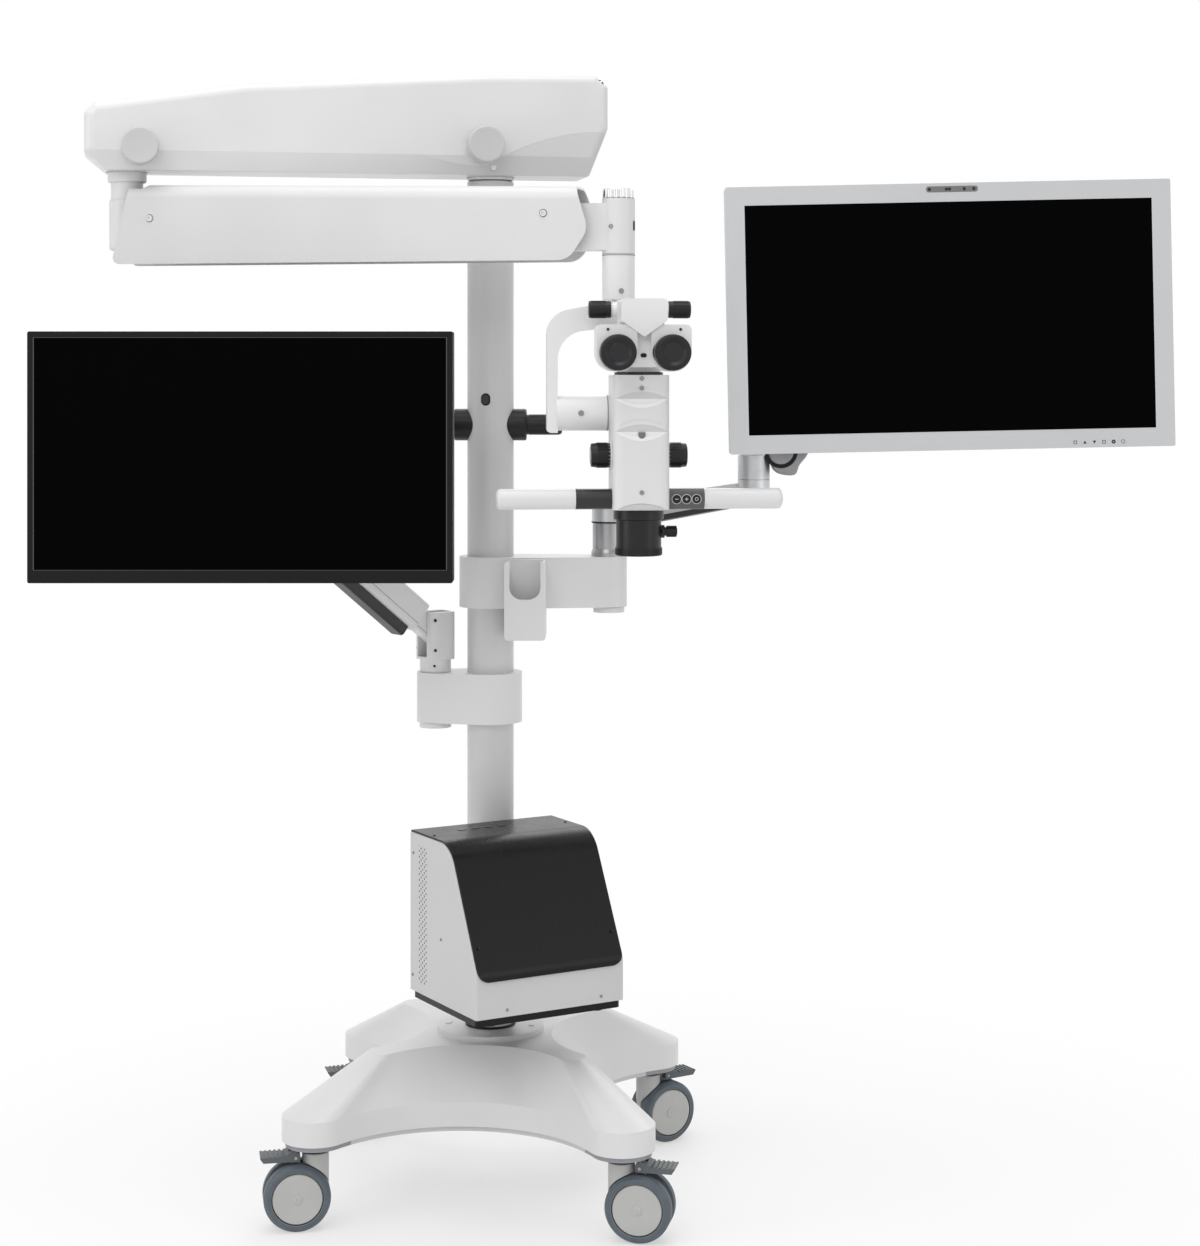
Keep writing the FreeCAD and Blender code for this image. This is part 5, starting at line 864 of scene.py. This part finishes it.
# Microscope body: a white casting with lens-shaped hollows across its front, small screws down the centre
# line and a half-round scale window. The magnification knobs are ribbed, with white scale collars.
BODY_MIDDLE = 26.4
WINDOW_ROUND = 5.1


def hollow_painted_light(place):
    """Painted shade above each crease line of the lens-shaped hollows across the front, and a painted highlight
    below the upper two.
    """
    x, y, z = place.local(HEAD)
    across = (x - BODY_MIDDLE) * (1 / 38.5)
    bow = (1 - across * across) * (y < -55.0)
    tones = []
    for line, lower in ((1238.5, 13.4), (1191.0, 13.4), (1077.5, 0.0)):
        up = z - line
        tones.append(((up > 0.0) * (up < bow * 10.3), (0.60, 0.60, 0.60)))
        if lower:
            tones.append(((up < 0.0) * (up > bow * -lower), (0.86, 0.86, 0.86)))
    return tones


body_white = paint("body_white", WHITE, 0.4, 0.00005, 900.0, 0.5, hollow_painted_light)
knob_black = paint("knob_black", BLACK, 0.36, 0.00004, 900.0, 0.35)
scale_white = paint("scale_white", (0.72, 0.72, 0.72), 0.4, 0.00002)
dress(body_white, "microscope_body")
dress(knob_black, "zoom_knobs", "focus_knob", "pupil_knobs", "eyepiece_left", "eyepiece_right")
dress(knob_black, "objective_barrel", "button_1", "button_2", "button_3")
front_screws = [(BODY_MIDDLE, -85.0, high, (0, -1, 0), 3.4) for high in (1268, 1254, 1103.5)]
back_screws = [(BODY_MIDDLE + way * 30, 15.0, high, (0, 1, 0), 2.6) for way in (-1, 1) for high in (1092, 1260)]
screws("body_screws", "microscope", HEAD, front_screws + back_screws, screw_steel)
window = Shape()
outline = []
for degrees in range(180, 361, 12):
    angle = math.radians(degrees)
    outline.append((WINDOW_ROUND * math.cos(angle), WINDOW_ROUND * math.sin(angle) - 4.1))
outline += [(WINDOW_ROUND, 0), (-WINDOW_ROUND, 0)]
here = spot(BODY_MIDDLE, -84.5, 1190.5, FRONT)
rings = [[window.mesh.verts.new(here @ Vector((x, y, high))) for x, y in outline] for high in (0, 0.9)]
window.skin(rings)
for ring in rings:
    window.mesh.faces.new(ring)
window_grey = paint("window_grey", (0.16, 0.16, 0.165), 0.15, 0.00001)
window.piece("scale_window", "microscope", "screen", window_grey, HEAD)
back_seam = Shape().block(60, 150, 0.8, 6, spot(BODY_MIDDLE, 15.0, 1176, BACK), 0.3)
back_seam.piece("body_back_plate", "microscope", "paint_white", body_white, HEAD)
for label, way in (("left", -1), ("right", 1)):
    turn = RIGHT if way > 0 else RIGHT.inverted()
    here = spot(BODY_MIDDLE, -35, 1156, turn)
    at = here @ spot(0, 0, 54)
    ribs(f"zoom_ribs_{label}", "zoom_shaft", knob_black, HEAD, at, 18.0, 15, 44, 1.3, 1.0)
    at = here @ spot(0, 0, 43.6)
    ribs(f"zoom_ticks_{label}", "zoom_shaft", scale_white, HEAD, at, 18.0, 2.6, 20, 0.5, 0.2)
    collar = [(10, 41.0), (21.0, 41.0), (21.0, 41.9), (20.4, 42.4), (10, 42.4)]
    collar = Shape().lathe(collar, here, 48, closed=True)
    collar.piece(f"zoom_collar_{label}", "microscope", "paint_white", scale_white, HEAD)
    face = [(0, 69.9), (13.5, 69.9), (14, 70.2), (14, 70.5), (12.8, 70.7), (12.4, 70.3), (0, 70.3)]
    face = Shape().lathe(face, here, 40)
    face.piece(f"zoom_face_{label}", "zoom_shaft", "anodised_black", gloss_black, HEAD)

# Objective and fine focus: a black anodised barrel with a knurled front ring and coated front glass
# in the open mouth, and a small knurled focus knob on its right.
lens_glass, shader, start = surface("lens_glass")
place = start.place()
# The base colour turns violet towards grazing angles: a painted sheen standing in for the coating's reflection.
rim = start.node("ShaderNodeLayerWeight", {}, {"Blend": 0.35}, 1)
wire(shader, Base_Color=rim.blend((0.002, 0.003, 0.006), (0.02, 0.01, 0.03)), Coat_Weight=0.3)
wire(shader, Roughness=place.noise(40.0).between(0.3, 0.8) * 0.03 + 0.03)
wire(shader, Coat_Roughness=0.02, Specular_IOR_Level=0.3)
middle = spot(BODY_MIDDLE, -35, 0)
at = middle @ spot(0, 0, 1016)
ribs("objective_knurl", "microscope", knob_black, HEAD, at, 34.0, 9, 80, 1.4, 1.0)
glass = [(0, 1013.6), (9, 1013.9), (18, 1014.8), (24.5, 1016.1), (24.5, 1017), (0, 1017)]
glass = Shape().lathe(glass, middle, 56)
glass.piece("objective_glass", "microscope", "screen", lens_glass, HEAD)
ring = [(24.5, 1012.4), (26.9, 1011.6), (26.9, 1016.5), (24.5, 1016.5)]
ring = Shape().lathe(ring, middle, 56, closed=True)
ring.piece("objective_retainer", "microscope", "anodised_black", soft_black, HEAD)
here = spot(BODY_MIDDLE + 33.5, -35, 1044.5, RIGHT)
at = here @ spot(0, 0, 14.5)
ribs("focus_ribs", "focus_body", knob_black, HEAD, at, 8.0, 14, 26, 0.9, 0.6)
cap = Shape().lathe([(0, 21.9), (5.6, 21.9), (5.6, 22.4), (5.0, 22.8), (0, 22.8)], here, 28)
cap.piece("focus_cap", "focus_body", "anodised_black", knob_black, HEAD)

# Handle: a bar through the body with a black sleeve on the left, a dark pod with three ringed buttons on
# the right, and a white grip at each end.
HANDLE_FRONT = -50.0
HANDLE_HIGH = 1093.0


def handle_tones(place):
    x, y, z = place.local(HEAD)
    sleeve = (x > -66.6) * (x < -14.6)
    pod = (x > 67.4) * (x < 119.45)
    return [(sleeve, (0.012, 0.012, 0.013)), (pod, (0.085, 0.086, 0.09))]


grip_white = paint("grip_white", WHITE, 0.36, 0.00004, 900.0, 0.5, handle_tones)
dress(grip_white, "handle")
icon_grey = paint("icon_grey", (0.72, 0.72, 0.73), 0.4, 0.00002)
rings = Shape()
for i in range(3):
    ring = [(6.4, 0), (7.2, 0), (7.2, 0.35), (6.4, 0.35)]
    rings.lathe(ring, spot(78.9 + 14.5 * i, HANDLE_FRONT - 15, HANDLE_HIGH, FRONT), 32, closed=True)
rings.piece("button_rings", "microscope", "anodised_black", icon_grey, HEAD)
for i in range(3):
    icon = Shape()
    here = spot(78.9 + 14.5 * i, HANDLE_FRONT - 16.1, HANDLE_HIGH, FRONT)
    if i == 2:
        icon.lathe([(1.9, 0), (2.5, 0), (2.5, 0.3), (1.9, 0.3)], here, 24, closed=True)
    else:
        icon.block(5.0, 0.8, 0.3, 0.3, here, 0.0, 2)
    if i == 1:
        icon.block(0.8, 5.0, 0.3, 0.3, here, 0.0, 2)
    icon.piece(f"button_icon_{i + 1}", f"button_{i + 1}_body", "anodised_black", icon_grey, HEAD)
ends = Shape()
for x, turn in ((234.4, RIGHT), (-181.6, RIGHT.inverted())):
    cap = [(0, -0.4), (7.6, -0.4), (7.6, 0.5), (7.0, 0.9), (0, 0.9)]
    ends.lathe(cap, spot(x, HANDLE_FRONT, HANDLE_HIGH, turn), 32)
ends.piece("grip_end_plugs", "microscope", "cover_white", knob_white, HEAD)
seams = Shape()
for x in (-66.6, 119.4):
    ring = [(14.9, -0.5), (15.3, -0.5), (15.3, 0.5), (14.9, 0.5)]
    seams.lathe(ring, spot(x, HANDLE_FRONT, HANDLE_HIGH, RIGHT), 40, closed=True)
seams.piece("grip_seams", "microscope", "black_plastic", soft_black, HEAD)

# Binocular tube: a black dovetail ring under a white foot and neck, and the tilting twin-lobed tube with
# its pointed shield. Ribbed pupil-distance knobs sit on the tilt shaft, each by a white scale collar.


def dovetail(place):
    x, y, z = place.local(HEAD)
    return [(z < 1277.2, (0.012, 0.012, 0.013))]


base_white = paint("base_white", (0.76, 0.76, 0.76), 0.38, 0.00005, 900.0, 0.5, dovetail)
dress(base_white, "binocular_base")
dress(head_white, "binocular_body")
for label, way in (("left", -1), ("right", 1)):
    turn = RIGHT if way > 0 else RIGHT.inverted()
    here = spot(BODY_MIDDLE, -48, 1368, turn)
    at = here @ spot(0, 0, 60)
    ribs(f"pupil_ribs_{label}", "pupil_shaft", knob_black, HEAD, at, 12.4, 22, 32, 1.1, 0.8)
    face = [(0, 73.8), (9.6, 73.8), (9.6, 74.2), (9.0, 74.6), (0, 74.6)]
    face = Shape().lathe(face, here, 32)
    face.piece(f"pupil_face_{label}", "pupil_shaft", "anodised_black", gloss_black, HEAD)
    at = here @ spot(0, 0, 40.6)
    ribs(f"pupil_ticks_{label}", "binocular", soft_black, HEAD, at, 10.9, 2.2, 18, 0.4, 0.25)
lobe_screws = [(BODY_MIDDLE + way * 52, -122.0, 1338, (0, -1, 0), 2.2) for way in (-1, 1)]
screws("lobe_screws", "binocular", HEAD, lobe_screws, dark_screw)
button = Shape().block(9, 6, 1.6, 2.9, spot(BODY_MIDDLE, -110, 1301, FRONT), 0.5)
button.piece("bridge_button", "binocular", "black_plastic", soft_black, HEAD)

# Eyepieces: black rings with ribbed collars, white dioptre marks, soft rubber eyecups and coated glass.
rubber = paint("rubber", (0.012, 0.012, 0.012), 0.62, 0.00012, 1300.0, 0.3)
for label, way in (("left", -1), ("right", 1)):
    here = spot(BODY_MIDDLE + way * 38.85, -122.3, 1305, FRONT)
    body = f"eyepiece_{label}_body"
    at = here @ spot(0, 0, 8)
    ribs(f"eyepiece_{label}_ribs", body, knob_black, HEAD, at, 25.6, 9, 56, 1.3, 0.8)
    at = here @ spot(0, 0, 15.5)
    ribs(f"eyepiece_{label}_marks", body, scale_white, HEAD, at, 25.8, 2.4, 20, 0.5, 0.15)
    cup = [(20.4, 27.3), (21.4, 27.8), (23.2, 27.7), (24.6, 26.9), (25.2, 25.6), (25.2, 20.5), (25.9, 20.0),
           (25.9, 18.6), (23.0, 18.6), (20.4, 24.0)]
    cup = Shape().lathe(cup, here, 56, closed=True)
    cup.piece(f"eyecup_{label}", body, "anodised_black", rubber, HEAD)
    glass = Shape().lathe([(0, 25.9), (6, 25.7), (11, 25.1), (13.8, 24.5), (13.8, 24.0), (0, 24.0)], here, 48)
    glass.piece(f"eye_glass_{label}", body, "screen", lens_glass, HEAD)
